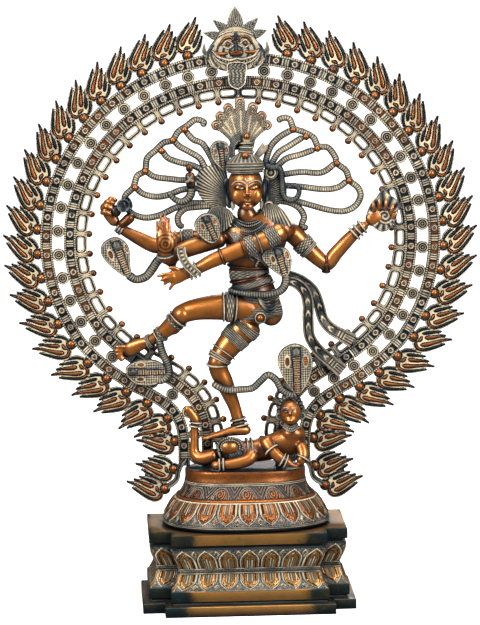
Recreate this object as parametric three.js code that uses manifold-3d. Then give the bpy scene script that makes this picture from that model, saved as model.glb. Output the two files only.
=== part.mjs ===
// A brass nataraja: a dancing figure inside a ring of flames, on a lotus plinth and a stepped pedestal.
// Millimetres, +Z up, the front faces -Y, and the origin is at the centre of the pedestal's underside.
// The pieces are separate castings, fitted with a hairline gap where they are brazed or bolted together.

import * as THREE from "three";
import { mergeVertices } from "three/addons/utils/BufferGeometryUtils.js";
import Module from "manifold-3d";

// ---- driving dimensions ----

const GAP = 0.3; // hairline between touching castings
const PLATE_Y = 12; // middle of the ring's plate
const PLATE_FRONT = 8; // front face of the ring's plate
const PLATE_BACK = 16; // back face of the ring's plate

const RING = { halfWidth: 243, halfHeight: 227, centreZ: 455, arcEnd: 120 };
const RING_FOOT = [[199, 325], [174, 300], [143, 277], [121, 264.5], [102, 252.5], [88.5, 240], [80, 225], [76, 204]];
const BAND_WIDTH = 14;
const BAND_SPACING = 29.5; // outer band's middle to inner band's middle
const ROSETTE_RADIUS = 8.6;
const ROSETTE_PITCH = 29.8;
const FLAMES_PER_SIDE = 24;
const FLAME_PITCH = 29.2;
const FLAME_DEPTH = 6;
const RAIL_PITCH = 25.5;
const RAIL_WIDTH = 13; // inner band's edge to the rail's inner edge
const RAIL_BAR = 3.6;
const SMALL_BEAD_RADIUS = 4.3;
const LARGE_BEAD_RADIUS = 5.8;

const PLINTH_TOP = 170;
const SLAB_TOP = 100.5;
const WALL = 5; // castings' wall thickness

const BRASS = { color: 0x8a5a2b, roughness: 0.42, metalness: 0.85 };
const STEEL = { color: 0x5a5856, roughness: 0.5, metalness: 0.9 };

// ---- solids ----

const wasm = await Module();
wasm.setup();

function solid(geometry) {
  geometry.deleteAttribute("normal");
  geometry.deleteAttribute("uv");
  const welded = mergeVertices(geometry, 1e-4);
  return new wasm.Manifold(new wasm.Mesh({
    numProp: 3,
    vertProperties: new Float32Array(welded.attributes.position.array),
    triVerts: new Uint32Array(welded.index.array),
  }));
}

const join = (solids) => solids.reduce((all, next) => all.add(next));
const block = (x0, x1, y0, y1, z0, z1) =>
  solid(new THREE.BoxGeometry(x1 - x0, y1 - y0, z1 - z0).translate((x0 + x1) / 2, (y0 + y1) / 2, (z0 + z1) / 2));

// Closed stack of rings with the same number of points, the first ring lowest on the path.
function skin(rings) {
  const sides = rings[0].length;
  const points = rings.flat().concat([middle(rings[0]), middle(rings.at(-1))]);
  const index = [];
  for (let r = 0; r + 1 < rings.length; r += 1) {
    for (let s = 0; s < sides; s += 1) {
      const a = r * sides + s;
      const b = r * sides + ((s + 1) % sides);
      index.push(a, b, b + sides, a, b + sides, a + sides);
    }
  }
  const first = rings.length * sides;
  const last = (rings.length - 1) * sides;
  for (let s = 0; s < sides; s += 1) {
    const next = (s + 1) % sides;
    index.push(first, next, s, first + 1, last + s, last + next);
  }
  const geometry = new THREE.BufferGeometry();
  geometry.setAttribute("position", new THREE.Float32BufferAttribute(points.flat(), 3));
  geometry.setIndex(index);
  return solid(geometry);
}

function middle(ring) {
  return [0, 1, 2].map((axis) => ring.reduce((sum, point) => sum + point[axis], 0) / ring.length);
}

// A limb along a path. Each station is [x, y, z, half width across the path, half depth along Y].
function limb(stations, { grow = 0, sides = 8, steps = 0 } = {}) {
  const curve = new THREE.CatmullRomCurve3(stations.map(([x, y, z]) => new THREE.Vector3(x, y, z)));
  const sizes = new THREE.CatmullRomCurve3(stations.map((s) => new THREE.Vector3(s[3], s[4] ?? s[3], 0)));
  const count = steps || stations.length - 1;
  const rings = [];
  for (let i = 0; i <= count; i += 1) {
    const t = i / count;
    const tangent = curve.getTangent(t);
    const centre = curve.getPoint(t);
    if (i === 0) centre.addScaledVector(tangent, -grow);
    if (i === count) centre.addScaledVector(tangent, grow);
    const size = sizes.getPoint(t);
    const depth = new THREE.Vector3(0, -1, 0).addScaledVector(tangent, tangent.y).normalize();
    const across = new THREE.Vector3().crossVectors(depth, tangent);
    const ring = [];
    for (let s = 0; s < sides; s += 1) {
      const angle = ((s + 0.5) / sides) * 2 * Math.PI;
      const point = centre.clone()
        .addScaledVector(across, (size.x + grow) * Math.cos(angle))
        .addScaledVector(depth, (size.y + grow) * Math.sin(angle));
      ring.push(point.toArray());
    }
    rings.push(ring);
  }
  return skin(rings);
}

// A cord of round section: each point is [x, z] at depth y.
function strand(points, y, radius, options = {}) {
  return limb(points.map(([x, z]) => [x, y, z, radius, radius]), { sides: 6, ...options });
}

// A flat plate: the outline is [x, z] points, extruded from front to back along Y.
function plate(outline, front, back, grow = 0) {
  const shape = new THREE.Shape(grown(outline, grow).map(([x, z]) => new THREE.Vector2(x, z)));
  const geometry = new THREE.ExtrudeGeometry(shape, { depth: back - front + 2 * grow, bevelEnabled: false });
  return solid(geometry.rotateX(Math.PI / 2).translate(0, back + grow, 0));
}

// The outline moved outwards by a distance, corner by corner.
function grown(outline, distance) {
  if (distance === 0) return outline;
  const area = outline.reduce((sum, [x, z], i) => {
    const [nx, nz] = outline[(i + 1) % outline.length];
    return sum + x * nz - nx * z;
  }, 0);
  const turn = Math.sign(area) * distance;
  return outline.map(([x, z], i) => {
    const [px, pz] = outline.at(i - 1);
    const [nx, nz] = outline[(i + 1) % outline.length];
    const before = new THREE.Vector2(x - px, z - pz).normalize();
    const after = new THREE.Vector2(nx - x, nz - z).normalize();
    const normal = new THREE.Vector2(before.y + after.y, -before.x - after.x).normalize();
    const stretch = 1 / Math.max(0.5, normal.x * before.y - normal.y * before.x);
    return [x + normal.x * turn * stretch, z + normal.y * turn * stretch];
  });
}


// A solid ball squeezed to three half sizes.
function ball(x, y, z, rx, ry, rz, grow = 0) {
  const geometry = new THREE.SphereGeometry(1, 10, 7);
  return solid(geometry.rotateX(Math.PI / 2).scale(rx + grow, ry + grow, rz + grow).translate(x, y, z));
}

// A round button lying in the ring's plate.
function button(x, z, radius, front, back, sides) {
  return solid(new THREE.CylinderGeometry(radius, radius, back - front, sides).translate(x, (front + back) / 2, z));
}

// ---- pedestal: a stepped plan, wide behind, with a projection in front and behind ----

const PEDESTAL_LEVELS = [
  // z from and to, then half sizes: main x, main y, projection x, projection y; upper is given where the sides slope
  { z: [0, 13], lower: [132.5, 77.5, 105.5, 109] },
  { z: [13, 17], lower: [121, 66, 94, 98] },
  { z: [17, 31], lower: [124.5, 71.5, 97.5, 103] },
  { z: [31, 50.5], lower: [124, 71, 97, 102], upper: [112, 59, 85, 90] },
  { z: [50.5, 57.7], lower: [111, 58, 84, 88.5] },
  { z: [57.7, 82], lower: [112, 59, 85, 90], upper: [121, 67.5, 94, 99] },
  { z: [82, 87.5], lower: [117, 63.5, 90, 95] },
  { z: [87.5, SLAB_TOP], lower: [123.5, 70, 96.5, 102] },
];

function taper(z0, z1, [x0, y0], [x1, y1]) {
  const ring = (x, y, z) => [[-x, -y, z], [x, -y, z], [x, y, z], [-x, y, z]];
  return skin([ring(x0, y0, z0), ring(x1, y1, z1)]);
}

function pedestal() {
  const overlap = 0.05; // levels sink into each other so that they join into one casting
  const levels = PEDESTAL_LEVELS.map(({ z: [z0, z1], lower, upper = lower }, i) => {
    const bottom = i === 0 ? z0 : z0 - overlap;
    return taper(bottom, z1, lower.slice(0, 2), upper.slice(0, 2))
      .add(taper(bottom, z1, lower.slice(2), upper.slice(2)));
  });
  const hollow = block(-105, 105, -52, 52, -1, SLAB_TOP - WALL)
    .add(block(-78, 78, -82, 82, -1, SLAB_TOP - WALL));
  const boltHoles = BOLT_SPOTS.map(([x, y]) => rod(x, y, SLAB_TOP - WALL - 1, SLAB_TOP + 1, 3.5));
  return join(levels).subtract(hollow).subtract(join(boltHoles));
}

// ---- plinth: an oval lotus seat and the plain drum that the figure stands on ----

const PLINTH_LEVELS = [
  // [z, half width, half depth]
  [SLAB_TOP + GAP, 101, 91.5], [107, 104.5, 93], [111, 103, 91], [126, 95, 82], [136, 87, 71],
  [146, 78, 60], [155, 76, 50], [PLINTH_TOP, 75.6, 48],
];
const PLINTH_SIDES = 40;
const SQUARENESS = 2.5; // 2 is an ellipse, more is squarer

function oval(halfWidth, halfDepth, z) {
  return Array.from({ length: PLINTH_SIDES }, (_, i) => {
    const angle = (i / PLINTH_SIDES) * 2 * Math.PI;
    const bend = (value) => Math.sign(value) * Math.abs(value) ** (2 / SQUARENESS);
    return [halfWidth * bend(Math.cos(angle)), halfDepth * bend(Math.sin(angle)), z];
  });
}

const BOLT_SPOTS = [[-52, -32], [52, -32], [-52, 32], [52, 32]];

function rod(x, y, z0, z1, radius, sides = 8) {
  return solid(new THREE.CylinderGeometry(radius, radius, z1 - z0, sides)
    .rotateX(Math.PI / 2).translate(x, y, (z0 + z1) / 2));
}

function plinth() {
  const outside = skin(PLINTH_LEVELS.map(([z, a, b]) => oval(a, b, z)));
  const inside = skin([oval(92, 78, SLAB_TOP - 1), oval(84, 68, 126), oval(69, 43, 146), oval(69, 41, PLINTH_TOP - WALL)]);
  const bosses = BOLT_SPOTS.map(([x, y]) => rod(x, y, SLAB_TOP + GAP, 150, 9)
    .subtract(rod(x, y, SLAB_TOP, 125, 3.5)));
  return outside.subtract(inside).add(join(bosses).intersect(outside));
}

// A hexagon-headed bolt from below through the slab into a boss of the plinth.
function plinthBolt([x, y]) {
  const underside = SLAB_TOP - WALL - GAP;
  return rod(x, y, underside - 5, underside, 6, 6).add(rod(x, y, underside - 0.1, 120, 3));
}

// ---- ring of flames ----

// One side of the outer band's middle line, from the crown down to the foot, as even steps.
function ringPath() {
  const points = [];
  for (let angle = 0; angle <= RING.arcEnd; angle += 2) {
    const turn = THREE.MathUtils.degToRad(angle);
    const z = RING.centreZ + RING.halfHeight * Math.cos(turn);
    points.push(new THREE.Vector3(RING.halfWidth * Math.sin(turn), 0, z));
  }
  const feet = [...RING_FOOT, [RING_FOOT.at(-1)[0], PLINTH_TOP + GAP]];
  points.push(...feet.map(([x, z]) => new THREE.Vector3(x, 0, z)));
  return new THREE.CatmullRomCurve3(points);
}

const path = ringPath();
path.arcLengthDivisions = 400;
const PATH_LENGTH = path.getLength();

// The point a distance along the path and an inset towards the middle of the ring, and the way outwards.
function onRing(distance, inset, side) {
  const t = THREE.MathUtils.clamp(distance / PATH_LENGTH, 0, 1);
  const point = path.getPointAt(t);
  const along = path.getTangentAt(t);
  return {
    x: side * (point.x + along.z * inset),
    z: point.z - along.x * inset,
    outwards: new THREE.Vector2(-along.z * side, along.x),
  };
}

// A strip of the ring between two distances along the path.
function strip(from, to, inset, width, side, steps) {
  const edge = (offset) => Array.from({ length: steps + 1 }, (_, i) => {
    const { x, z } = onRing(from + ((to - from) * i) / steps, inset + offset, side);
    return [x, Math.max(z, PLINTH_TOP + GAP)];
  });
  return plate([...edge(-width / 2), ...edge(width / 2).reverse()], PLATE_FRONT, PLATE_BACK);
}

// Distances along the path that are evenly spaced on the line at an inset from it.
function evenly(inset, first, pitch) {
  const spots = [];
  let travelled = -first;
  let last = onRing(0, inset, 1);
  for (let distance = 1; distance < PATH_LENGTH - 8; distance += 1) {
    const here = onRing(distance, inset, 1);
    travelled += Math.hypot(here.x - last.x, here.z - last.z);
    last = here;
    if (travelled >= spots.length * pitch) spots.push(distance);
  }
  return spots;
}

// Flame outline: [across, along], with the low tongues on the crown's side and the wide one on the other.
const FLAME = [[-5, -1], [-11, 12], [-11.5, 28], [-8, 37], [0, 49], [5, 41], [12, 22], [13.5, 13], [11, 4], [4, -1]];
// How far each flame leans from square to the band towards the crown, in degrees, in even steps down the side.
const FLAME_LEAN = [26, 34, 36, 36, 34, 30, 27, 28, 4, 12];

function lean(share) {
  const place = share * (FLAME_LEAN.length - 1);
  const low = Math.min(Math.floor(place), FLAME_LEAN.length - 2);
  return THREE.MathUtils.lerp(FLAME_LEAN[low], FLAME_LEAN[low + 1], place - low);
}

const FLAME_START = 60; // along the path, clear of the mask
const FLAMES_CLOSE = 20; // evenly set flames of a side, before the wider set ones down the foot
const FOOT_FLAME_PITCH = 37;
const ARM_FLAMES = [[89, 167], [101, 142]]; // the last flames of a side stand on the curved arm beside the plinth

function flameDistance(index) {
  return FLAME_START + FLAME_PITCH * Math.min(index, FLAMES_CLOSE - 1)
    + FOOT_FLAME_PITCH * Math.max(0, index - FLAMES_CLOSE + 1);
}

function flame(index, side) {
  const onArm = ARM_FLAMES[index - FLAMES_PER_SIDE + ARM_FLAMES.length];
  const { x, z, outwards } = onArm
    ? { x: side * onArm[0], z: onArm[1], outwards: new THREE.Vector2(side, 0) }
    : onRing(flameDistance(index), -BAND_WIDTH / 2 - 4, side);
  const turn = THREE.MathUtils.degToRad(lean(index / (FLAMES_PER_SIDE - 1))) * side;
  const along = outwards.clone().rotateAround(new THREE.Vector2(), turn);
  const across = new THREE.Vector2(along.y, -along.x);
  const outline = FLAME.map(([a, l]) => [
    x + across.x * a * side + along.x * l,
    z + across.y * a * side + along.y * l,
  ]);
  const front = PLATE_Y - FLAME_DEPTH / 2;
  return plate(outline, front, front + FLAME_DEPTH).add(button(x, z, LARGE_BEAD_RADIUS, PLATE_FRONT, PLATE_BACK, 6));
}

const RAIL_INSET = BAND_SPACING + BAND_WIDTH / 2; // the inner band's inner edge
const ROSETTE_SPOTS = evenly(BAND_SPACING / 2, 33, ROSETTE_PITCH);
const RAIL_BARS = evenly(RAIL_INSET + RAIL_WIDTH, 26, RAIL_PITCH);

// One casting of the ring: both bands, the rosettes between them, the slotted rail inside and the flames outside.
function ringSegment(from, to, sides) {
  const steps = Math.ceil((to - from) / 24);
  const pieces = [];
  for (const side of sides) {
    pieces.push(strip(from, to, 0, BAND_WIDTH, side, steps));
    pieces.push(strip(from, to, BAND_SPACING, BAND_WIDTH, side, steps));
    pieces.push(strip(from, to, RAIL_INSET + RAIL_WIDTH - RAIL_BAR / 2, RAIL_BAR, side, steps));
    for (const distance of ROSETTE_SPOTS) {
      if (distance < from || distance > to) continue;
      const spot = onRing(distance, BAND_SPACING / 2, side);
      pieces.push(button(spot.x, spot.z, ROSETTE_RADIUS, PLATE_FRONT, PLATE_BACK, 8));
    }
    for (const distance of RAIL_BARS) {
      if (distance < from + RAIL_BAR || distance > to - RAIL_BAR) continue;
      const reach = RAIL_WIDTH + 2 * SMALL_BEAD_RADIUS; // a bead stands on the end of each bar
      pieces.push(strip(distance - 3, distance + 3, RAIL_INSET + reach / 2 - 1, reach, side, 1));
    }
    for (let i = 0; i < FLAMES_PER_SIDE - ARM_FLAMES.length; i += 1) {
      const distance = flameDistance(i);
      if (distance >= from && distance < to) pieces.push(flame(i, side));
    }
  }
  return join(pieces);
}

// The curved arm outside the plinth that carries the last flames of a side.
function footArm(side) {
  const route = [[75, 178], [83, 166], [87, 152], [101, 142]].map(([x, z]) => [side * x, z]);
  const flames = ARM_FLAMES.map((_, i) => flame(FLAMES_PER_SIDE - ARM_FLAMES.length + i, side));
  return join([strand(route, PLATE_Y, 3.4), ...flames]);
}

const JOINTS = [0, 107, 326, 570, PATH_LENGTH]; // where the castings of a side meet, along the path
const segment = (number, sides) =>
  ringSegment(JOINTS[number] + (number ? GAP / 2 : 0), JOINTS[number + 1] - (number < 3 ? GAP / 2 : 0), sides);

// The mask over the crown of the ring, seen as a plate with leaf tips, horns and a long tongue.
const MASK = [
  [-2, 746], [6, 731], [11, 722], [25, 731], [22, 716], [36, 716], [29, 704], [36, 701], [38, 680], [26, 669],
  [11, 668], [10, 652], [0, 643], [-11, 648], [-13, 668], [-30, 667], [-39, 680], [-42, 700], [-33, 700],
  [-40, 713], [-26, 717], [-30, 730], [-14, 722], [-9, 731],
];

// ---- figure ----

const TORSO = [
  [17, -8, 352, 28, 19], [17, -8, 372, 31, 22], [14, -8, 396, 26, 20], [9, -8, 415, 25, 19],
  [11, -9, 440, 31, 21], [19, -9, 462, 41, 20], [19, -8, 476, 34, 15], [7, -8, 484, 13, 12],
];
const HEAD = [[7, -10, 484.3, 11, 11], [6, -13, 498, 14, 15], [6, -15, 508, 19, 20], [6, -14, 530, 22, 22], [6, -13, 546, 20, 20]];
const DIADEM = [[6, -12, 546.3, 22, 22], [6, -11, 556, 23, 22], [6, -9, 563, 15, 14], [6, -7, 572, 8, 9]];
const FEATHERS = [
  [-9, 572.5], [-12, 586], [-20, 596], [-34, 600], [-34, 608], [-25, 609], [-28, 617], [-20, 621], [-18, 628],
  [-9, 627], [1, 636], [10, 628], [21, 629], [23, 620], [34, 617], [31, 609], [40, 605], [38, 598], [26, 594], [19, 584], [17, 572.5],
];

const HOOD_SMALL = [[-26, 543], [-36, 563], [-33, 576], [-25, 580], [-16, 576], [-13, 563], [-20, 543]];
const MOON = [[25, 560], [20, 569], [24, 573], [30, 575], [36, 578], [35, 568], [30, 561]];

const HAIR_LEFT = [
  [[-46, 598], [-46, 604], [-54, 606], [-64, 600], [-76, 592], [-83, 582], [-94, 579], [-104, 570], [-115, 560],
    [-118, 545], [-128, 538], [-133, 524], [-143, 514], [-143, 502], [-134, 491], [-118, 486], [-100, 489],
    [-80, 498], [-60, 503], [-38, 502]],
  [[-68, 595], [-58, 583], [-46, 577], [-37, 563], [-30, 548]],
  [[-83, 583], [-74, 574], [-62, 567], [-50, 559], [-43, 547], [-34, 538]],
  [[-97, 570], [-89, 560], [-74, 554], [-58, 550], [-44, 542], [-30, 533]],
  [[-118, 545], [-106, 537], [-88, 534], [-70, 532]],
  [[-131, 525], [-121, 516], [-105, 512], [-89, 514], [-72, 520]],
];
const CURL_LEFT = [[-38, 498], [-54, 497], [-69, 496], [-78, 487], [-77, 477], [-71, 473]];
const FAN_LEFT = [[-22, 542], [-40, 546], [-54, 537], [-50, 516], [-38, 507], [-26, 498], [-21, 520]];

const HAIR_RIGHT = [
  [[47, 603], [55, 607], [63, 605], [68, 594], [80, 589], [92, 582], [98, 571], [110, 569], [119, 557],
    [121, 549], [132, 540], [137, 527], [147, 518], [150, 507], [143, 495], [129, 489], [110, 491], [86, 498], [62, 505], [44, 505]],
  [[31, 548], [38, 570], [50, 583], [66, 592]],
  [[38, 547], [48, 563], [62, 572], [80, 583]],
  [[44, 544], [58, 556], [76, 561], [94, 567]],
  [[52, 536], [76, 539], [102, 538], [119, 549]],
  [[74, 521], [104, 517], [122, 519], [134, 527]],
];
const CURL_RIGHT = [[46, 506], [61, 501], [73, 494], [79, 483], [76, 472], [84, 468]];
const FAN_RIGHT = [[36, 546], [52, 540], [50, 520], [56, 505], [44, 500], [35, 500], [33, 525]];

const HEAD_SNAKE = [[38, 545], [49, 544], [51, 526], [53, 510], [62, 504], [71, 508], [73, 517], [67, 524], [59, 521]];

const RIVER_FIGURE = [[-63, -12, 552, 4, 4], [-63, -12, 543, 5, 4], [-63, -12, 530, 6, 4], [-62, -12, 520, 5, 4],
  [-66, -12, 511, 4, 4], [-76, -12, 506, 4, 3], [-86, -12, 514, 3, 3]];

const DRUM_ARM = [[-26, 0, 461, 12, 11], [-52, 0, 457, 12, 11], [-80, 0, 456, 12, 11], [-103, 0, 450, 10, 10],
  [-124, 0, 460, 9, 9], [-146, 0, 472, 6.5, 6.5], [-157, 1, 478, 6, 6], [-164, 2, 490, 9, 6], [-170, 3, 502, 11, 6], [-172, 3, 509, 8, 5]];
const DRUM = [[-142, 0, 480, 7, 7], [-146, 0, 489, 5, 5], [-150, 0, 497, 7.5, 7.5], [-149, 0, 508, 7, 7]];
const BLESSING_ARM = [[-22, -21, 458, 10, 9], [-55, -23, 452, 11, 9], [-82, -26, 444, 10, 9], [-95, -31, 440, 9, 7],
  [-95, -35, 450, 10, 5], [-95, -35, 466, 11, 5], [-98, -33, 482, 9, 4], [-98, -31, 497, 4, 3]];
const CROSSING_ARM = [[52, -31, 468, 11, 9], [26, -36, 456, 11, 9], [-4, -38, 447, 10, 9], [-36, -38, 436, 9, 9],
  [-60, -38, 423, 8, 8], [-72, -38, 420, 9, 6], [-84, -38, 418, 9, 5], [-102, -38, 414, 5, 3]];
const FLAME_ARM = [[59, 0, 470, 12, 12], [80, 0, 446, 12, 11], [102, 0, 425, 9, 10], [121, 0, 441, 8.5, 8.5],
  [142, 0, 460, 8, 7.5], [156, 1, 470, 10, 7], [168, 2, 478, 16, 6]];
const HAND_FLAME = [[165, 461], [160, 484], [170, 500], [178, 512], [188, 508], [196, 498], [192, 480], [193, 462]];

const ARM_HOOD = [[-146, 415], [-161, 426], [-174, 442], [-172, 455], [-160, 462], [-148, 459], [-140, 449], [-139, 430], [-138, 416]];
const ARM_SNAKE = [[-104, 436], [-110, 428], [-118, 417], [-131, 411], [-143, 417]];
const SHOULDER_HOOD = [[-43, 456], [-55, 468], [-58, 480], [-50, 490], [-40, 492], [-30, 486], [-28, 470]];
const WAIST_HOOD = [[49, 416], [34, 424], [25, 436], [30, 443], [42, 447], [55, 443], [60, 432], [56, 418]];
const WAIST_SNAKE = [[52, 417], [52, 404], [48, 394], [38, 387]];
const DWARF_HOOD = [[60, 266], [48, 282], [42, 303], [48, 317], [66, 326], [80, 317], [85, 303], [80, 282], [70, 264]];
const SHIN_SNAKE = [[-34, 276], [-22, 271], [-4, 271], [10, 272], [20, 280], [30, 289], [40, 281], [47, 269], [60, 263]];
const LEG_SNAKE = [[-104, 330], [-101, 316], [-93, 300], [-95, 288], [-108, 282]];
const LEG_HOOD = [[-97, 290], [-108, 276], [-134, 277], [-146, 290], [-140, 302], [-122, 307], [-104, 306]];

const SASH_UPPER = [[56, -6, 413, 5], [74, -4, 404, 6], [89, 0, 390, 6], [96, 3, 372, 6], [101, 4, 354, 6], [110, 4, 342, 6], [124, 4, 334, 6], [137, 4, 326, 7]];
const SASH_LOWER = [[50, -14, 406, 5], [67, -12, 402, 6], [78, -10, 390, 6], [82, -6, 374, 6], [82, -3, 354, 6], [84, 0, 332, 6], [95, 3, 314, 6], [110, 4, 300, 6], [124, 4, 288, 6]];
const SASH_DEPTH = 2.5;

const RAISED_LEG = [[14, -12, 371, 16, 17], [-22, -16, 373, 16, 17], [-54, -16, 371, 13, 14], [-78, -14, 362, 12, 12],
  [-90, -10, 350, 10, 10], [-104, -5, 338, 8, 8], [-118, 0, 331, 7, 7], [-130, 2, 327, 8, 6], [-144, 3, 320, 9, 5], [-157, 3, 316, 6, 4]];
const STANDING_LEG = [[4, -12, 352, 19, 18], [-10, -13, 337, 17, 16], [-24, -15, 318, 15, 14], [-32, -16, 304, 12, 13],
  [-28, -14, 288, 12, 12], [-20, -13, 268, 9, 10], [-12, -12, 248, 8, 8], [-8, -12, 228, 9, 9], [-6, -13, 222, 10, 9]];
const STANDING_FOOT = [[7, -14, 219, 6, 7], [-6, -15, 218, 7, 8], [-24, -18, 216, 5, 8], [-40, -21, 213, 3.5, 9], [-52, -22, 211.5, 2.4, 8]];

const DWARF_BODY = [[74, -12, 206, 14, 14], [56, -12, 202, 17, 16], [36, -10, 196, 17, 15], [12, -10, 190, 15, 14], [-10, -13, 191, 16, 15], [-28, -15, 190, 16, 15], [-38, -14, 186, 9, 10]];
const DWARF_ARMS = [
  [[22, -26, 207, 9, 6], [30, -32, 197, 7, 6], [44, -36, 183, 6, 6], [54, -36, 177, 6, 6]],
  [[66, -30, 194, 7, 5], [68, -34, 184, 7, 6], [64, -36, 177, 6, 6]],
];
const DWARF_LEGS = [
  [[8, -30, 190, 7, 7], [2, -34, 181, 7, 8], [-16, -36, 179, 7, 7], [-36, -34, 178, 6, 6]],
  [[-44, -18, 186, 8, 8], [-56, -16, 182, 8, 8], [-64, -14, 190, 6, 7], [-63, -12, 208, 5, 6], [-63, -11, 224, 5, 5],
    [-60, -11, 230, 6, 5], [-68, -11, 240, 5, 5], [-75, -11, 249, 4, 4]],
];

// Every shape takes an amount to grow by, so that a neighbour can be cut clear of it.
const tubes = (routes, y, radius) => (grow) => join(routes.map((route) => strand(route, y, radius, { grow })));
const limbs = (...routes) => (grow) => join(routes.map((route) => limb(route, { grow })));
const sash = (route) => (grow) => limb(route.map(([x, y, z, w]) => [x, y, z, w, SASH_DEPTH]), { grow, sides: 6 });
const hood = (outline, front, back) => (grow) => plate(outline, front, back, grow);
const both = (first, second) => (grow) => first(grow).add(second(grow));

// A ring of metal around a limb, square to its path at a station between two of the limb's own stations.
function cuff(stations, share, length, proud) {
  return (grow) => {
    const curve = new THREE.CatmullRomCurve3(stations.map(([x, y, z]) => new THREE.Vector3(x, y, z)));
    const sizes = new THREE.CatmullRomCurve3(stations.map((s) => new THREE.Vector3(s[3], s[4], 0)));
    const centre = curve.getPoint(share);
    const along = curve.getTangent(share);
    const size = sizes.getPoint(share);
    const end = (sign) => [
      ...centre.clone().addScaledVector(along, (sign * length) / 2).toArray(), size.x + proud, size.y + proud,
    ];
    return limb([end(-1), end(1)], { grow, sides: 10, steps: 1 });
  };
}

const FIGURE = [
  ["torso", limbs(TORSO)],
  ["head", limbs(HEAD)],
  ["diadem", limbs(DIADEM)],
  ["raised_leg", limbs(RAISED_LEG)],
  ["standing_leg", limbs(STANDING_LEG, STANDING_FOOT)],
  ["crossing_arm", limbs(CROSSING_ARM)],
  ["blessing_arm", limbs(BLESSING_ARM)],
  ["drum_arm", limbs(DRUM_ARM)],
  ["drum", limbs(DRUM)],
  ["flame_arm", limbs(FLAME_ARM)],
  ["armlet_drum_arm", cuff(DRUM_ARM, 0.21, 9, 2)],
  ["armlet_flame_arm", cuff(FLAME_ARM, 0.2, 10, 2)],
  ["bracelet_flame_arm", cuff(FLAME_ARM, 0.72, 12, 3)],
  ["bracelet_crossing_arm", cuff(CROSSING_ARM, 0.56, 9, 2)],
  ["anklet_standing_leg", cuff(STANDING_LEG, 0.93, 6, 2.5)],
  ["knee_band_standing_leg", cuff(STANDING_LEG, 0.32, 8, 2)],
  ["knee_band_raised_leg", cuff(RAISED_LEG, 0.4, 6, 2)],
  ["hand_flame", hood(HAND_FLAME, -4, 9)],
  ["feather_crown", hood(FEATHERS, -9, 9)],
  ["crown_cobra", hood(HOOD_SMALL, -9, -3)],
  ["crescent_moon", hood(MOON, -8, -2)],
  ["hair_left", (grow) => join([
    tubes(HAIR_LEFT, 0, 3.8)(grow), tubes([CURL_LEFT], 0, 3.8)(grow), plate(FAN_LEFT, -4, 4, grow)])],
  ["head_snake", tubes([HEAD_SNAKE], -9, 3)],
  ["hair_right", (grow) => join([
    tubes(HAIR_RIGHT, 0, 3.8)(grow), tubes([CURL_RIGHT], 0, 3.8)(grow), plate(FAN_RIGHT, -4, 4, grow)])],
  ["river_figure", limbs(RIVER_FIGURE)],
  ["shoulder_cobra", hood(SHOULDER_HOOD, -34, -27)],
  ["arm_cobra", both(hood(ARM_HOOD, -12, -4), tubes([ARM_SNAKE], -8, 4.5))],
  ["waist_cobra", both(hood(WAIST_HOOD, -34, -27), tubes([WAIST_SNAKE], -30, 4.5))],
  ["sash_upper", sash(SASH_UPPER)],
  ["sash_lower", sash(SASH_LOWER)],
  ["leg_cobra", both(hood(LEG_HOOD, -2, 9), tubes([LEG_SNAKE], -2, 4.5))],
  ["shin_cobra", both(hood(DWARF_HOOD, -24, -17), tubes([SHIN_SNAKE], -22, 4.3))],
  ["scarf_end", (grow) => limb([[-75, -34, 447, 6, 3], [-74, -36, 440, 6, 3], [-69, -38, 431, 6, 3]], { grow, sides: 6 })],
  ["dwarf_head", (grow) => ball(58, -27, 240, 14, 13, 16, grow)],
  ["dwarf_body", limbs(DWARF_BODY)],
  ["dwarf_near_arm", limbs(DWARF_ARMS[0])],
  ["dwarf_far_arm", limbs(DWARF_ARMS[1])],
  ["dwarf_bent_leg", limbs(DWARF_LEGS[0])],
  ["dwarf_raised_leg", limbs(DWARF_LEGS[1])],
];

// ---- assembly ----

const group = new THREE.Group();

function place(name, shape, material = BRASS) {
  const { vertProperties, triVerts } = shape.getMesh();
  const geometry = new THREE.BufferGeometry();
  geometry.setAttribute("position", new THREE.Float32BufferAttribute(vertProperties, 3));
  geometry.setIndex(Array.from(triVerts));
  const mesh = new THREE.Mesh(geometry, new THREE.MeshStandardMaterial(material));
  mesh.name = name;
  group.add(mesh);
}

place("pedestal", pedestal());
place("lotus_plinth", plinth());
BOLT_SPOTS.forEach((spot, i) => place(`plinth_bolt_${i + 1}`, plinthBolt(spot), STEEL));

const mask = (grow) => plate(MASK, PLATE_FRONT - 4, PLATE_BACK + 1, grow);
place("kirtimukha_mask", mask(0));
place("ring_crown", segment(0, [-1, 1]).subtract(mask(GAP)));
for (const [name, side] of [["left", -1], ["right", 1]]) {
  place(`ring_upper_${name}`, segment(1, [side]));
  place(`ring_lower_${name}`, segment(2, [side]));
  place(`ring_foot_${name}`, segment(3, [side]).add(footArm(side)));
}

// Each casting of the figure is cut clear of the ones before it, of the ring's plate and of the plinth.
const ringFront = block(-300, 300, PLATE_FRONT - GAP, 60, 0, 800).subtract(block(-75, 75, 0, 70, 345, 600));
const drumTop = block(-90, 90, -60, 60, 0, PLINTH_TOP + GAP);
const fitted = [];
for (const [name, shape] of FIGURE) {
  let casting = shape(0).subtract(drumTop).subtract(ringFront);
  for (const other of fitted) {
    casting = casting.subtract(other(GAP));
  }
  fitted.push(shape);
  place(name, largest(casting));
}

// The main body of a casting that its neighbours may have cut into loose scraps.
function largest(casting) {
  return casting.decompose().sort((a, b) => b.volume() - a.volume())[0];
}

export default group;
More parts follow.
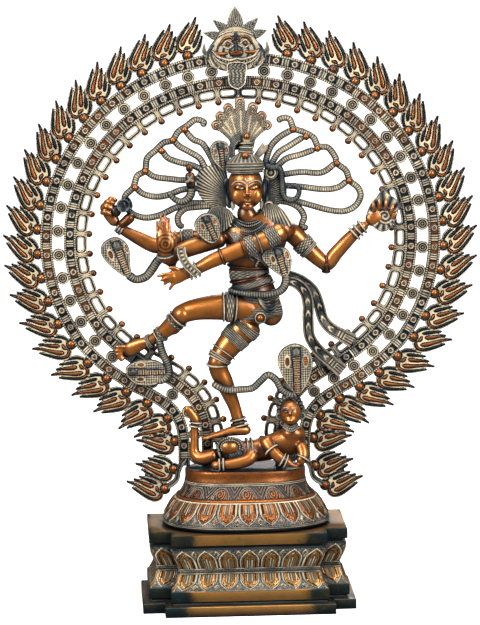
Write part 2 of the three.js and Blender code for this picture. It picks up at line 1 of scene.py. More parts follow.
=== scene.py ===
"""A patinated brass nataraja in a ring of flames, on a lotus plinth and a stepped pedestal.

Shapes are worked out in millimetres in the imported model's frame, +Z up and the front facing -Y,
and turned to metres when a piece is made. Every point carries a tone that picks its colour.
On castings and skin, up to 0.3 is dark patina, 0.5 to 0.6 rubbed copper and 0.62 to 1 ever paler
dust. On the chased ornaments -1 is rubbed copper, 0 dark patina and 1 pale dust.
"""
import math

import bpy
import numpy as np
from mathutils import Matrix, Vector


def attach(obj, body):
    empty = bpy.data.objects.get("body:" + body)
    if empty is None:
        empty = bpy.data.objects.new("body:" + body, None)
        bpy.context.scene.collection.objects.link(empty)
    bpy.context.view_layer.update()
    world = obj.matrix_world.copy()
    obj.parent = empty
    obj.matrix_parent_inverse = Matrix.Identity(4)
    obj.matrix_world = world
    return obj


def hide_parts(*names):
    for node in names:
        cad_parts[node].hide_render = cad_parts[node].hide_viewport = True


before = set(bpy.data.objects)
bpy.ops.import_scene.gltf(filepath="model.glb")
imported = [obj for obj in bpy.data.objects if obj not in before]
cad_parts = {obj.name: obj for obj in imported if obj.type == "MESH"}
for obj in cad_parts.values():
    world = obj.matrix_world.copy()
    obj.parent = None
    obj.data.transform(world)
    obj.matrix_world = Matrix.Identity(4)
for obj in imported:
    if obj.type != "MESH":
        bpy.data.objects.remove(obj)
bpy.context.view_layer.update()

MM = 0.001
FRONT = np.array([0.0, -1.0, 0.0])
RUBBED = -0.9  # the tone of rubbed copper on the chased ornaments
DARK, COPPER = 0.05, 0.5  # tones of castings and skin


# ---- mesh tools ----

class Form:
    """Points, tones and faces gathered for one piece."""

    def __init__(self):
        self.points, self.tones, self.quads, self.tris = [], [], [], []
        self.count = 0

    def add(self, points, tones, quads=None, tris=None):
        points = np.asarray(points, float).reshape(-1, 3)
        tones = np.broadcast_to(np.asarray(tones, float).reshape(-1), (len(points),))
        if quads is not None and len(quads):
            self.quads.append(np.asarray(quads) + self.count)
        if tris is not None and len(tris):
            self.tris.append(np.asarray(tris) + self.count)
        self.points.append(points)
        self.tones.append(tones)
        self.count += len(points)

    def grid(self, points, tones, wrap_rows=False, wrap_cols=False, caps=False):
        """A sheet of rows and columns; caps close the first and last row of a wrapped sheet with a fan."""
        rows, cols = points.shape[:2]
        index = np.arange(rows * cols).reshape(rows, cols)
        down = np.roll(index, -1, 0) if wrap_rows else index[1:]
        here = index if wrap_rows else index[:-1]
        if wrap_cols:
            quads = np.stack([here, np.roll(here, -1, 1), np.roll(down, -1, 1), down], -1).reshape(-1, 4)
        else:
            quads = np.stack([here[:, :-1], here[:, 1:], down[:, 1:], down[:, :-1]], -1).reshape(-1, 4)
        tones = np.broadcast_to(tones, (rows, cols))
        flat = points.reshape(-1, 3)
        tone_list = tones.reshape(-1)
        tris = []
        if caps:
            flat = np.vstack([flat, points[0].mean(0), points[-1].mean(0)])
            tone_list = np.concatenate([tone_list, [tones[0].mean(), tones[-1].mean()]])
            first, last = index[0], index[-1]
            tris = [np.stack([np.full(cols, rows * cols), np.roll(first, -1), first], -1),
                    np.stack([np.full(cols, rows * cols + 1), last, np.roll(last, -1)], -1)]
            tris = np.vstack(tris)
        self.add(flat, tone_list, quads, tris)

    def mirror(self):
        """The same form on the other side of the middle plane."""
        other = Form()
        other.points = [p * [-1, 1, 1] for p in self.points]
        other.tones = list(self.tones)
        other.quads = [q[:, ::-1] for q in self.quads]
        other.tris = [t[:, ::-1] for t in self.tris]
        other.count = self.count
        return other

    def take(self, other):
        """Adds another form's faces to this one."""
        self.points += other.points
        self.tones += other.tones
        self.quads += [q + self.count for q in other.quads]
        self.tris += [t + self.count for t in other.tris]
        self.count += other.count
        return self


def split_tone(level):
    """Relief tones as the ramps want them: copper lowest, then the dark patina, then pale dust.

    No blend of dark and dust runs through copper this way."""
    return np.interp(level, [0, 0.30, 0.40, 0.50, 0.605, 0.615, 1.0],
                     [0.32, 0.32, 0.16, 0.05, 0.0, 0.55, 1.0])


def dusty_tone(level):
    """Tones of the chased ornaments: -1 is rubbed copper, 0 the dark patina and 1 pale dust."""
    return np.interp(level, [-1, 0, 1], [0.0, 0.32, 1.0])


def form_mesh(name, form):
    """A form's points, in metres, and faces as a mesh."""
    mesh = bpy.data.meshes.new(name)
    faces = [face for group in form.quads + form.tris for face in group.tolist()]
    mesh.from_pydata((np.vstack(form.points) * MM).tolist(), [], faces)
    return mesh


def write_tones(mesh, levels):
    tone = mesh.attributes.new("tone", "FLOAT", "POINT")
    tone.data.foreach_set("value", levels.astype(np.float32))


def link(thing):
    """Puts an object in the scene."""
    bpy.context.scene.collection.objects.link(thing)
    return thing


def make_piece(name, form, material, nodes, crease=50, dusty=False):
    """A Blender object from a form, riding on the frame in place of its CAD nodes."""
    mesh = form_mesh(name, form)
    write_tones(mesh, (dusty_tone if dusty else split_tone)(np.concatenate(form.tones)))
    mesh.update()
    return dress(bpy.data.objects.new(name, mesh), material, nodes, crease)


def dress(piece, material, nodes, crease=50):
    """Gives a piece its material and its place in the frame."""
    mesh = piece.data
    link(piece)
    mesh.materials.clear()
    mesh.materials.append(material)
    mesh.shade_smooth()
    mesh.set_sharp_from_angle(angle=math.radians(crease))
    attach(piece, "root")
    if nodes:
        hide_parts(*nodes)
    return piece


def lengths_along(line):
    """How far along a line each of its points is."""
    return np.concatenate([[0], np.cumsum(np.linalg.norm(np.diff(line, axis=0), axis=1))])


def angles_round(sides):
    return np.arange(sides) / sides * 2 * np.pi


def resample(line, step):
    """The line's points and their distances along it, an even step apart."""
    lengths = lengths_along(line[:, :3])
    along = np.linspace(0, lengths[-1], max(2, round(lengths[-1] / step)) + 1)
    return np.column_stack([np.interp(along, lengths, column) for column in line.T]), along


def curve(controls, step=1.5):
    """A smooth line through the controls; extra columns, such as widths, are carried along."""
    c = np.asarray(controls, float)
    if c.shape[1] == 2:
        c = np.column_stack([c[:, 0], np.zeros(len(c)), c[:, 1]])
    padded = np.vstack([2 * c[0] - c[1], c, 2 * c[-1] - c[-2]])
    t = np.linspace(0, 1, 16, endpoint=False)[:, None]
    spans = [
        0.5 * (2 * p1 + (p2 - p0) * t + (2 * p0 - 5 * p1 + 4 * p2 - p3) * t ** 2
               + (3 * p1 - p0 - 3 * p2 + p3) * t ** 3)
        for p0, p1, p2, p3 in zip(padded, padded[1:], padded[2:], padded[3:])
    ]
    return resample(np.vstack(spans + [c[-1:]]), step)


def unit(vectors):
    return vectors / np.maximum(np.linalg.norm(vectors, axis=-1, keepdims=True), 1e-9)


def axes(line, closed=False, front=FRONT):
    """The ways along a line, across it and out of its front."""
    if closed:
        along = unit(np.roll(line, -1, 0) - np.roll(line, 1, 0))
    else:
        along = unit(np.gradient(line, axis=0))
    out = unit(front - along * (along @ front)[:, None])
    return along, np.cross(along, out), out


def slab(form, line, offsets, heights, tones, half, closed=False, front=FRONT):
    """A strip with the same relief on its front and back.

    offsets, heights and tones are (stations, samples across); half is the strip's half thickness."""
    _, across, out = axes(line, closed, front)
    stations = len(line)
    samples = np.shape(offsets)[-1]
    offsets = np.broadcast_to(offsets, (stations, samples))
    heights = np.broadcast_to(heights, (stations, samples))
    tones = np.broadcast_to(tones, (stations, samples))
    half = np.broadcast_to(np.reshape(half, (-1, 1)), (stations, 1))
    flat = line[:, None] + across[:, None] * offsets[..., None]
    rise = out[:, None] * (heights + half)[..., None]
    loop = np.concatenate([flat + rise, (flat - rise)[:, ::-1]], axis=1)
    loop_tones = np.concatenate([tones, tones[:, ::-1]], axis=1)
    form.grid(loop, loop_tones, wrap_rows=closed, wrap_cols=True)
    if not closed:
        columns = np.arange(samples)
        ends = []
        for row, flip in ((0, True), (stations - 1, False)):
            base = form.count - stations * 2 * samples + row * 2 * samples
            a, b = base + columns[:-1], base + columns[1:]
            c, d = base + 2 * samples - 1 - columns[1:], base + 2 * samples - 1 - columns[:-1]
            quad = np.stack([a, b, c, d], -1)
            ends.append(quad[:, ::-1] if flip else quad)
        form.quads.append(np.vstack(ends)[:, ::-1])


def tube(form, line, wide, deep, tones=COPPER, sides=16, relief=None, round_ends=(True, True)):
    """A limb round a line: wide across, deep along its front; relief is (stations, sides) in millimetres."""
    _, across, out = axes(line[:, :3])
    stations = len(line)
    wide = np.broadcast_to(wide, (stations,)).astype(float)
    deep = np.broadcast_to(deep, (stations,)).astype(float)
    along = lengths_along(line[:, :3])
    taper = np.ones(stations)
    for flag, distance in zip(round_ends, (along, along[-1] - along)):
        if flag:
            reach = max(0.5, 0.9 * float(min(wide.mean(), deep.mean())))
            taper *= np.sqrt(np.clip(1 - (1 - np.clip(distance / reach, 0.02, 1)) ** 2, 0, 1))
    angle = angles_round(sides)
    bump = np.zeros((stations, sides)) if relief is None else relief
    ring_wide = (wide * taper)[:, None] + bump * taper[:, None]
    ring_deep = (deep * taper)[:, None] + bump * taper[:, None]
    points = (line[:, None, :3] + across[:, None] * (ring_wide * np.cos(angle))[..., None]
              + out[:, None] * (ring_deep * np.sin(angle))[..., None])
    if np.ndim(tones) == 1:
        tones = np.tile(tones[:, None], (1, sides))
    tones = np.broadcast_to(tones, (stations, sides))
    form.grid(points[:, ::-1], tones[:, ::-1], wrap_cols=True, caps=True)


def turned(form, centre, profile, axis=FRONT, sides=24):
    """A button turned round an axis, the same on both faces: profile rows are radius, height and tone."""
    profile = np.asarray(profile, float)
    profile = np.vstack([profile, profile[::-1] * [1, -1, 1]])
    axis = unit(np.asarray(axis, float))
    side = unit(np.cross(axis, [0.3, 0.2, 0.9]))
    other = np.cross(axis, side)
    angle = angles_round(sides)
    ring = np.cos(angle)[:, None] * side + np.sin(angle)[:, None] * other
    points = (np.asarray(centre, float) + axis * profile[:, None, 1:2]
              + ring[None] * np.maximum(profile[:, None, 0:1], 0.02))
    form.grid(points[:, ::-1], np.repeat(profile[:, 2:3], sides, 1), wrap_cols=True, caps=True)


def bead(form, centre, radius, tone=COPPER, rings=8, sides=16):
    """A round bead, darker where it meets what carries it."""
    turn = np.linspace(0.03, np.pi / 2, rings)
    profile = np.column_stack([radius * np.sin(turn), radius * np.cos(turn),
                               tone - (tone - DARK) * np.clip(np.sin(turn) * 6 - 5, 0, 1)])
    turned(form, centre, profile, sides=sides)


def closed(outline, step=1.0):
    """A smooth closed outline through flat points."""
    ring = np.asarray(outline + outline[:3], float)
    line, _ = curve(ring, step)
    first = int(np.argmin(np.hypot(*(line[: len(line) // 3, [0, 2]] - outline[1]).T)))
    rest = line[first + 5:]
    last = int(np.argmin(np.hypot(*(rest[:, [0, 2]] - outline[1]).T))) + first + 5
    return line[first:last, [0, 2]]


def outline_distance(x, z, loop):
    """How far flat spots are outside a closed loop; negative inside."""
    near = np.full(x.shape, np.inf)
    inside = np.zeros(x.shape, bool)
    for (ax, az), (bx, bz) in zip(loop, np.roll(loop, -1, 0)):
        dx, dz = bx - ax, bz - az
        t = np.clip(((x - ax) * dx + (z - az) * dz) / max(dx * dx + dz * dz, 1e-9), 0, 1)
        near = np.minimum(near, np.hypot(x - ax - t * dx, z - az - t * dz))
        crosses = (az > z) != (bz > z)
        inside ^= crosses & (x < ax + (z - az) * dx / (dz if dz else 1e-9))
    return np.where(inside, -near, near)


def stroke_distance(x, z, line, grow=1.0, add=0.0):
    """How far flat spots are outside a stroke whose half width may vary, and their share along it."""
    near, share = np.full(x.shape, np.inf), np.zeros(x.shape)
    for i, (sx, _, sz, width) in enumerate(line[:, :4]):
        distance = np.hypot(x - sx, z - sz) - width * grow - add
        closer = distance < near
        near = np.where(closer, distance, near)
        share = np.where(closer, i / (len(line) - 1), share)
    return near, share


def strokes(*controls, step=1.0):
    """Stroke lines from controls of x, z and half width."""
    return [curve([(x, 0, z, w) for x, z, w in each], step)[0] for each in controls]


def plaque(form, distance, surface, half, box, cell=0.75, place=None, back=1.0, back_tone=None):
    """A cast plate. distance(x, z) is negative inside its outline; surface(x, z) gives relief and tone;
    box is x and z from and to; place turns flat points to their spot; back scales the relief behind."""
    gx, gz = np.meshgrid(np.arange(box[0], box[1], cell), np.arange(box[2], box[3], cell))
    d = distance(gx, gz)
    slope_z, slope_x = np.gradient(d, cell)
    steep = np.maximum(np.hypot(slope_x, slope_z), 0.3)
    snap = np.clip(d, 0, cell)
    px, pz = gx - slope_x / steep * snap, gz - slope_z / steep * snap
    near = d < 0.8 * cell
    kept = near[:-1, :-1] & near[1:, :-1] & near[1:, 1:] & near[:-1, 1:]
    index = np.arange(gx.size).reshape(gx.shape)
    corners = np.stack([index[:-1, :-1], index[:-1, 1:], index[1:, 1:], index[1:, :-1]], -1)
    front = corners[kept]
    used, flat = np.unique(front, return_inverse=True)
    front = flat.reshape(front.shape)
    px, pz = px.reshape(-1)[used], pz.reshape(-1)[used]
    height, tone = surface(px, pz)
    count = len(used)
    thick = half(px, pz) if callable(half) else half
    points = np.vstack([np.column_stack([px, -thick - height, pz]),
                        np.column_stack([px, thick + height * back, pz])])
    padded = np.pad(kept, 1)
    lookup = np.full(gx.size, -1)
    lookup[used] = np.arange(count)
    walls = []
    for (row, col), (a, b) in {(-1, 0): (0, 1), (0, 1): (1, 2), (1, 0): (2, 3), (0, -1): (3, 0)}.items():
        neighbour = padded[1 + row: padded.shape[0] - 1 + row, 1 + col: padded.shape[1] - 1 + col]
        edge = lookup[corners[kept & ~neighbour]]
        walls.append(np.stack([edge[:, b], edge[:, a], edge[:, a] + count, edge[:, b] + count], -1))
    if place is not None:
        points = place(points)
    behind = tone if back_tone is None else np.full(count, back_tone)
    form.add(points, np.concatenate([tone, behind]), np.vstack([front, front[:, ::-1] + count] + walls))


def outlined_plate(form, loop, surface, half, y, cell, box=None, **settings):
    """A plate inside a closed outline, with its middle plane at y."""
    if box is None:
        (low_x, low_z), (high_x, high_z) = loop.min(0) - 2, loop.max(0) + 2
        box = (low_x, high_x, low_z, high_z)
    plaque(form, lambda x, z: outline_distance(x, z, loop), surface, half, box, cell,
           place=lambda p: p + [0, y, 0], **settings)


def ridge(value, middle, half):
    """A rounded ridge, 1 at its middle and 0 from its half width out."""
    return np.sqrt(np.clip(1 - ((value - middle) / half) ** 2, 0, 1))


def smoothstep(low, high, value):
    t = np.clip((value - low) / (high - low), 0, 1)
    return t * t * (3 - 2 * t)


# ---- materials ----

MIX_FIRST, MIX_SECOND, MIX_RESULT = 6, 7, 2  # a Mix node's sockets when it mixes colours


def node(tree, kind, **settings):
    made = tree.nodes.new(kind)
    for key, value in settings.items():
        setattr(made, key, value)
    return made


def ramp(tree, source, stops):
    """A colour ramp fed by a socket; stops are (place, colour)."""
    made = node(tree, "ShaderNodeValToRGB")
    elements = made.color_ramp.elements
    while len(elements) < len(stops):
        elements.new(0.5)
    for element, (place, colour) in zip(elements, stops):
        element.position = place
        element.color = (*colour, 1.0)
    tree.links.new(source, made.inputs["Fac"])
    return made.outputs["Color"]


def new_material(name):
    """A material with its node tree and its shader."""
    material = bpy.data.materials.new(name)
    material.use_nodes = True
    return material, material.node_tree, material.node_tree.nodes["Principled BSDF"]


def noise(tree, scale, detail=4.0):
    place = node(tree, "ShaderNodeTexCoord").outputs["Object"]
    made = node(tree, "ShaderNodeTexNoise")
    made.inputs["Scale"].default_value = scale
    made.inputs["Detail"].default_value = detail
    made.inputs["Roughness"].default_value = 0.6
    tree.links.new(place, made.inputs["Vector"])
    return made.outputs["Fac"]


def maths(tree, operation, first, second, clamp=False):
    made = node(tree, "ShaderNodeMath", operation=operation, use_clamp=clamp)
    for socket, value in zip(made.inputs, (first, second)):
        if isinstance(value, (int, float)):
            socket.default_value = value
        else:
            tree.links.new(value, socket)
    return made.outputs[0]


def mix(tree, share, first, second):
    made = node(tree, "ShaderNodeMix", data_type="RGBA")
    for name, value in (("Factor", share), (MIX_FIRST, first), (MIX_SECOND, second)):
        socket = made.inputs[name]
        if isinstance(value, (int, float)):
            socket.default_value = value
        elif isinstance(value, tuple):
            socket.default_value = (*value, 1.0)
        else:
            tree.links.new(value, socket)
    return made.outputs[MIX_RESULT]


def remap(tree, value, low, high, to_low, to_high):
    made = node(tree, "ShaderNodeMapRange", clamp=True)
    tree.links.new(value, made.inputs["Value"])
    for name, number in zip(("From Min", "From Max", "To Min", "To Max"), (low, high, to_low, to_high)):
        made.inputs[name].default_value = number
    return made.outputs[0]


PATINA = (0.007, 0.019, 0.028)
EDGE_DUST = (0.62, 0.44, 0.26)
METALNESS, DUST_METALNESS = 0.85, 0.08
DUST_ROUGHNESS = 0.72
BROAD_NOISE, FINE_NOISE, PIT_NOISE = 38.0, 420.0, 1100.0
PIT_DEPTH = 0.0004
LIT_FACING_FRONT_BACK = 0.92  # how far surfaces facing the front or the back are kept out of the painted shade
LIT_FACING_UP = 0.39  # and those facing up


def cast_brass(name, stops, gloss, tone_wander=0.28, shade_reach=0.012, shade_power=1.8, edge_dust=0.0,
               side_shade_floor=0.5, coat=0.3, grain=0.3, pitting=0.25):
    """Patinated brass: the tone picks the colour, hollows go blue-black and the metal is fine-grained.

    stops are the ramp's colours, gloss is the roughness of rubbed metal."""
    material, tree, shader = new_material(name)
    tone = node(tree, "ShaderNodeAttribute", attribute_name="tone").outputs["Fac"]
    broad = noise(tree, BROAD_NOISE, 3.0)
    fine = noise(tree, FINE_NOISE, 5.0)
    wander = maths(tree, "MULTIPLY", maths(tree, "SUBTRACT", fine, 0.5), grain)
    drift = maths(tree, "MULTIPLY", maths(tree, "SUBTRACT", broad, 0.5), tone_wander)
    # Painted shade: surfaces facing sideways or down are darkened towards the patina colour, while surfaces
    # facing the front, the back or up are darkened much less.
    facing = node(tree, "ShaderNodeSeparateXYZ")
    tree.links.new(node(tree, "ShaderNodeNewGeometry").outputs["Normal"], facing.inputs["Vector"])
    level_side = maths(tree, "MULTIPLY", maths(tree, "ABSOLUTE", facing.outputs["Y"], 0.0), LIT_FACING_FRONT_BACK)
    high_side = maths(tree, "MULTIPLY", facing.outputs["Z"], LIT_FACING_UP)
    painted_facing_shade = remap(tree, maths(tree, "ADD", level_side, high_side), 0.0, 0.74, side_shade_floor, 1.0)
    varied = maths(tree, "ADD", maths(tree, "ADD", tone, wander), drift, clamp=True)
    colour = ramp(tree, varied, stops)
    shade = node(tree, "ShaderNodeAmbientOcclusion", samples=8)
    shade.inputs["Distance"].default_value = shade_reach
    open_air = maths(tree, "POWER", shade.outputs["AO"], shade_power, clamp=True)
    metal = remap(tree, varied, 0.34, 0.60, METALNESS, DUST_METALNESS)
    # The patina colour fills the hollows found by occlusion and also gives the painted shade on sideways and
    # downward-facing surfaces.
    colour = mix(tree, maths(tree, "MULTIPLY", open_air, painted_facing_shade), PATINA, colour)
    if edge_dust:
        point = node(tree, "ShaderNodeNewGeometry").outputs["Pointiness"]
        rubbed = remap(tree, point, 0.505, 0.56, 0.0, edge_dust)
        colour = mix(tree, rubbed, colour, EDGE_DUST)
    tree.links.new(colour, shader.inputs["Base Color"])
    tree.links.new(metal, shader.inputs["Metallic"])
    shader.inputs["Coat Weight"].default_value = coat
    shader.inputs["Coat Roughness"].default_value = 0.7 * gloss
    dull = remap(tree, varied, 0.30, 0.90, gloss, DUST_ROUGHNESS)
    worn = maths(tree, "ADD", dull, maths(tree, "MULTIPLY", maths(tree, "SUBTRACT", broad, 0.45), 0.22),
                 clamp=True)
    tree.links.new(worn, shader.inputs["Roughness"])
    bump = node(tree, "ShaderNodeBump")
    bump.inputs["Strength"].default_value = pitting
    bump.inputs["Distance"].default_value = PIT_DEPTH
    tree.links.new(noise(tree, PIT_NOISE, 4.0), bump.inputs["Height"])
    tree.links.new(bump.outputs["Normal"], shader.inputs["Normal"])
    return material


RELIEF_STOPS = [(0.0, (0.34, 0.105, 0.020)), (0.12, (0.18, 0.055, 0.012)), (0.22, (0.035, 0.020, 0.012)),
                (0.34, (0.006, 0.016, 0.022)), (0.52, (0.032, 0.032, 0.026)), (0.70, (0.13, 0.100, 0.060)),
                (0.86, (0.34, 0.265, 0.158)), (1.0, (0.60, 0.475, 0.295))]
SKIN_STOPS = [(0.0, (0.52, 0.172, 0.027)), (0.12, (0.30, 0.095, 0.017)), (0.24, (0.055, 0.030, 0.015)),
              (0.34, (0.007, 0.017, 0.025)), (0.52, (0.035, 0.038, 0.036)), (0.70, (0.15, 0.125, 0.09)),
              (1.0, (0.56, 0.46, 0.31))]
SLAB_STOPS = [(0.0, (0.44, 0.200, 0.050)), (0.14, (0.29, 0.150, 0.040)), (0.26, (0.050, 0.044, 0.024)),
              (0.36, (0.007, 0.020, 0.024)), (0.52, (0.032, 0.034, 0.028)), (0.70, (0.14, 0.113, 0.070)),
              (0.86, (0.36, 0.285, 0.175)), (1.0, (0.60, 0.48, 0.31))]

relief_brass = cast_brass("relief_brass", RELIEF_STOPS, 0.36, tone_wander=0.46, shade_power=2.4, coat=0.12)
skin_brass = cast_brass("skin_brass", SKIN_STOPS, 0.36, tone_wander=0.40, shade_reach=0.018, edge_dust=0.08,
                        # On the skin the painted shade on sideways and downward-facing surfaces goes almost
                        # fully to the patina colour.
                        side_shade_floor=0.06, coat=0.5, grain=0.05, pitting=0.04)
base_brass = cast_brass("base_brass", SLAB_STOPS, 0.34, tone_wander=0.40, shade_power=2.2, coat=0.2,
                        grain=0.16)


def ornament(name, form, nodes):
    """A chased ornament, with tones from rubbed copper at -1 to pale dust at 1."""
    return make_piece(name, form, relief_brass, nodes, dusty=True)


# ---- pedestal ----

PEDESTAL = dict(main=(124.0, 71.0), step=(97.0, 102.0), inner=(105.0, 52.0, 78.0, 82.0))
PETAL_PITCH = 28.5
PETAL_VEIN = 3.3
PEDESTAL_STEP = 0.9  # how far apart the wall's points are
SHORT_SIDE = 60.0  # shorter sides of the plan fit whole petals


def plan(main_x, main_y, step_x, step_y):
    """Corners of the stepped plan, anticlockwise seen from above, from the front left."""
    quarter = [(step_x, -step_y), (step_x, -main_y), (main_x, -main_y)]
    right = quarter + [(x, -y) for x, y in quarter[::-1]]
    return np.array(right + [(-x, -y) for x, y in right])


def petal_relief(x, v, length, pitch=PETAL_PITCH):
    """Height and tone of a row of lotus petals: v is 0 at the petals' roots and 1 at their tips."""
    away = (x + pitch / 2) % pitch - pitch / 2
    side = np.abs(away)
    full = 0.44 * pitch
    width = full * np.where(v < 0.38, 1.0, np.clip(1 - ((v - 0.38) / 0.60) ** 2.0, 0, 1))
    inside = (width - side) * np.where(v > 0.7, 0.8, 1.0)
    outline = ridge(inside, 0.6, 1.1) + ridge(inside, 3.4, 0.9)
    leaf = smoothstep(4.6, 5.2, inside)
    nearest = np.abs((away + PETAL_VEIN / 2) % PETAL_VEIN - PETAL_VEIN / 2)
    reach = np.where(side < PETAL_VEIN / 2, 0.56, 0.46)
    vein = (nearest < 0.75) & (v < reach) & (side < 1.5 * PETAL_VEIN) & (leaf > 0.5)
    gap = (nearest < 1.2) & (v < reach + 0.04) & (side < 1.5 * PETAL_VEIN) & (leaf > 0.5)
    hatch = 0.5 + 0.5 * np.cos(inside * 2 * np.pi / 2.4)
    height = (0.9 * np.clip(outline, 0, 1) + 1.5 * leaf + smoothstep(0, 2, inside) * 0.9
              + np.where(inside < -0.6, 0.5 * hatch, 0))
    ground = np.where(inside < -0.4, np.where(hatch > 0.5, 0.74, 0.08), 0.06)
    tone = np.where(leaf > 0.5, 0.49, ground)
    tone = np.where(vein, 0.80, np.where(gap, 0.12, tone))
    tone = np.where(outline > 0.35, np.where(inside < 2.0, 0.84, 0.52), tone)
    gem_x = pitch / 2 - side
    gem_z = (v - 0.80) * length
    gem = np.clip(1.0 - gem_x / 3.4 - np.abs(gem_z) / 4.6, 0, 1)
    height = height + np.where(inside < 0, 1.6 * smoothstep(0, 0.35, gem), 0)
    gem_tone = np.where(gem > 0.45, 0.44, 0.86)
    tone = np.where((inside < 0) & (gem > 0.02), gem_tone, tone)
    return height, tone


def pedestal_rows():
    """Rows of sizes, z, kind, tone and v, from the inner ceiling down, round the foot and up."""
    rows = []

    def row(z, grow, kind, tone, v=0.0):
        main_x, main_y = PEDESTAL["main"]
        step_x, step_y = PEDESTAL["step"]
        rows.append(((main_x + grow, main_y + grow, step_x + grow, step_y + grow), z, kind, tone, v))

    inner = PEDESTAL["inner"]
    rows.append((inner, 95.0, "plain", DARK, 0))
    rows.append((inner, 0.6, "plain", DARK, 0))
    rows.append((tuple(v + 0.6 for v in inner), 0.0, "plain", DARK, 0))
    for z, grow in ((0.0, 7.7), (0.8, 8.5), (6, 8.5), (11.6, 8.5), (12.6, 7.9), (13.0, 7.0)):
        row(z, grow, "slab", 0.5)
    for z, grow, tone in ((13.1, 1.5, 0.42), (13.6, -1.5, 0.2), (14.4, -2.2, 0.85), (15.2, -1.6, 0.9),
                          (16.2, -2.4, 0.2), (17.0, -2.0, 0.1), (17.2, -0.6, 0.5)):
        row(z, grow, "plain", tone)
    for z, grow, tone in ((18.0, 0.8, 0.5), (24, 0.9, 0.5), (30.0, 0.8, 0.52), (30.9, 0.2, 0.62),
                          (31.2, -0.8, 0.8)):
        row(z, grow, "slab", tone)
    for v in np.linspace(1, 0, 25):
        drop = -1.2 - 9.6 * (1 - v) - 1.6 * math.sin(math.pi * v)
        row(31.6 + 18.6 * (1 - v), drop, "petal_down", 0.8, v)
    for z, grow, tone in ((50.5, -11.2, 0.2), (51.0, -10.2, 0.85), (51.8, -10.2, 0.85), (52.3, -11.0, 0.2)):
        row(z, grow, "plain", tone)
    for z, grow in ((52.8, -10.6), (53.6, -9.8), (54.5, -9.6), (55.3, -9.8), (56.0, -10.6)):
        row(z, grow, "beads", 0.7)
    for z, grow, tone in ((56.3, -11.0, 0.2), (56.7, -10.2, 0.85), (57.3, -10.2, 0.85), (57.8, -11.4, 0.2)):
        row(z, grow, "plain", tone)
    for v in np.linspace(0, 1, 31):
        row(58.0 + 23.6 * v, -11.4 + 9.4 * v ** 1.3 + 1.4 * math.sin(math.pi * v), "petal_up", 0.8, v)
    for z, grow, tone in ((82.0, -4.5, 0.8), (82.6, -6.4, 0.75), (85.0, -6.8, 0.35), (87.0, -6.4, 0.1),
                          (87.4, -3.0, 0.1)):
        row(z, grow, "plain", tone)
    for z, grow in ((87.6, -1.0), (88.6, -0.6), (94.0, -0.5), (99.4, -0.6), (100.2, -0.9), (100.5, -1.8)):
        row(z, grow, "slab", 0.48)
    for inset in (6, 14, 24, 36, 48, 58):
        row(100.5, -inset, "top", 0.44)
    return rows


def pedestal_form():
    form = Form()
    rows = pedestal_rows()
    reference = plan(*PEDESTAL["main"], *PEDESTAL["step"])
    sides = []
    for corner, following in zip(reference, np.roll(reference, -1, 0)):
        length = float(np.linalg.norm(following - corner))
        share = np.linspace(0, 1, max(4, round(length / PEDESTAL_STEP)), endpoint=False)
        sides.append((share, length))
    points, tones = [], []
    for sizes, z, kind, tone, v in rows:
        corners = plan(*sizes)
        row_points, row_tones = [], []
        for (share, length), corner, following in zip(sides, corners, np.roll(corners, -1, 0)):
            way = unit((following - corner)[None])[0]
            normal = np.array([way[1], -way[0]])
            base = corner + (following - corner) * share[:, None]
            x = (share - 0.5) * length
            to_corner = (0.5 - np.abs(share - 0.5)) * length
            fade = smoothstep(0, 2.5, to_corner)
            height = np.zeros_like(x)
            level = np.full_like(x, tone)
            if kind.startswith("petal"):
                whole = max(1, round(length / PETAL_PITCH))
                pitch = length / whole if length < SHORT_SIDE else PETAL_PITCH
                shift = 0 if whole % 2 or length > SHORT_SIDE else pitch / 2
                height, level = petal_relief(x + shift, v, 24.0, pitch)
                height = height * fade
                level = np.where(fade < 0.4, 0.6, level)
            elif kind == "beads":
                height = 0.5 * np.cos(x / 1.8 * 2 * np.pi) * fade
                level = np.where(height > 0, 0.85, 0.2)
            elif kind == "slab":
                edge = smoothstep(0, 46, to_corner) if length > 100 else 0.15 * fade
                level = tone * (0.3 + 0.7 * edge)
            row_points.append(np.column_stack([base + normal * height[:, None], np.full(len(x), z)]))
            row_tones.append(np.broadcast_to(level, x.shape))
        points.append(np.vstack(row_points))
        tones.append(np.concatenate(row_tones))
    form.grid(np.array(points), np.array(tones), wrap_cols=True, caps=True)
    return form


# ---- plinth ----

SQUARENESS = 2.5
PLINTH_PETALS = 22
SCROLLS = 14


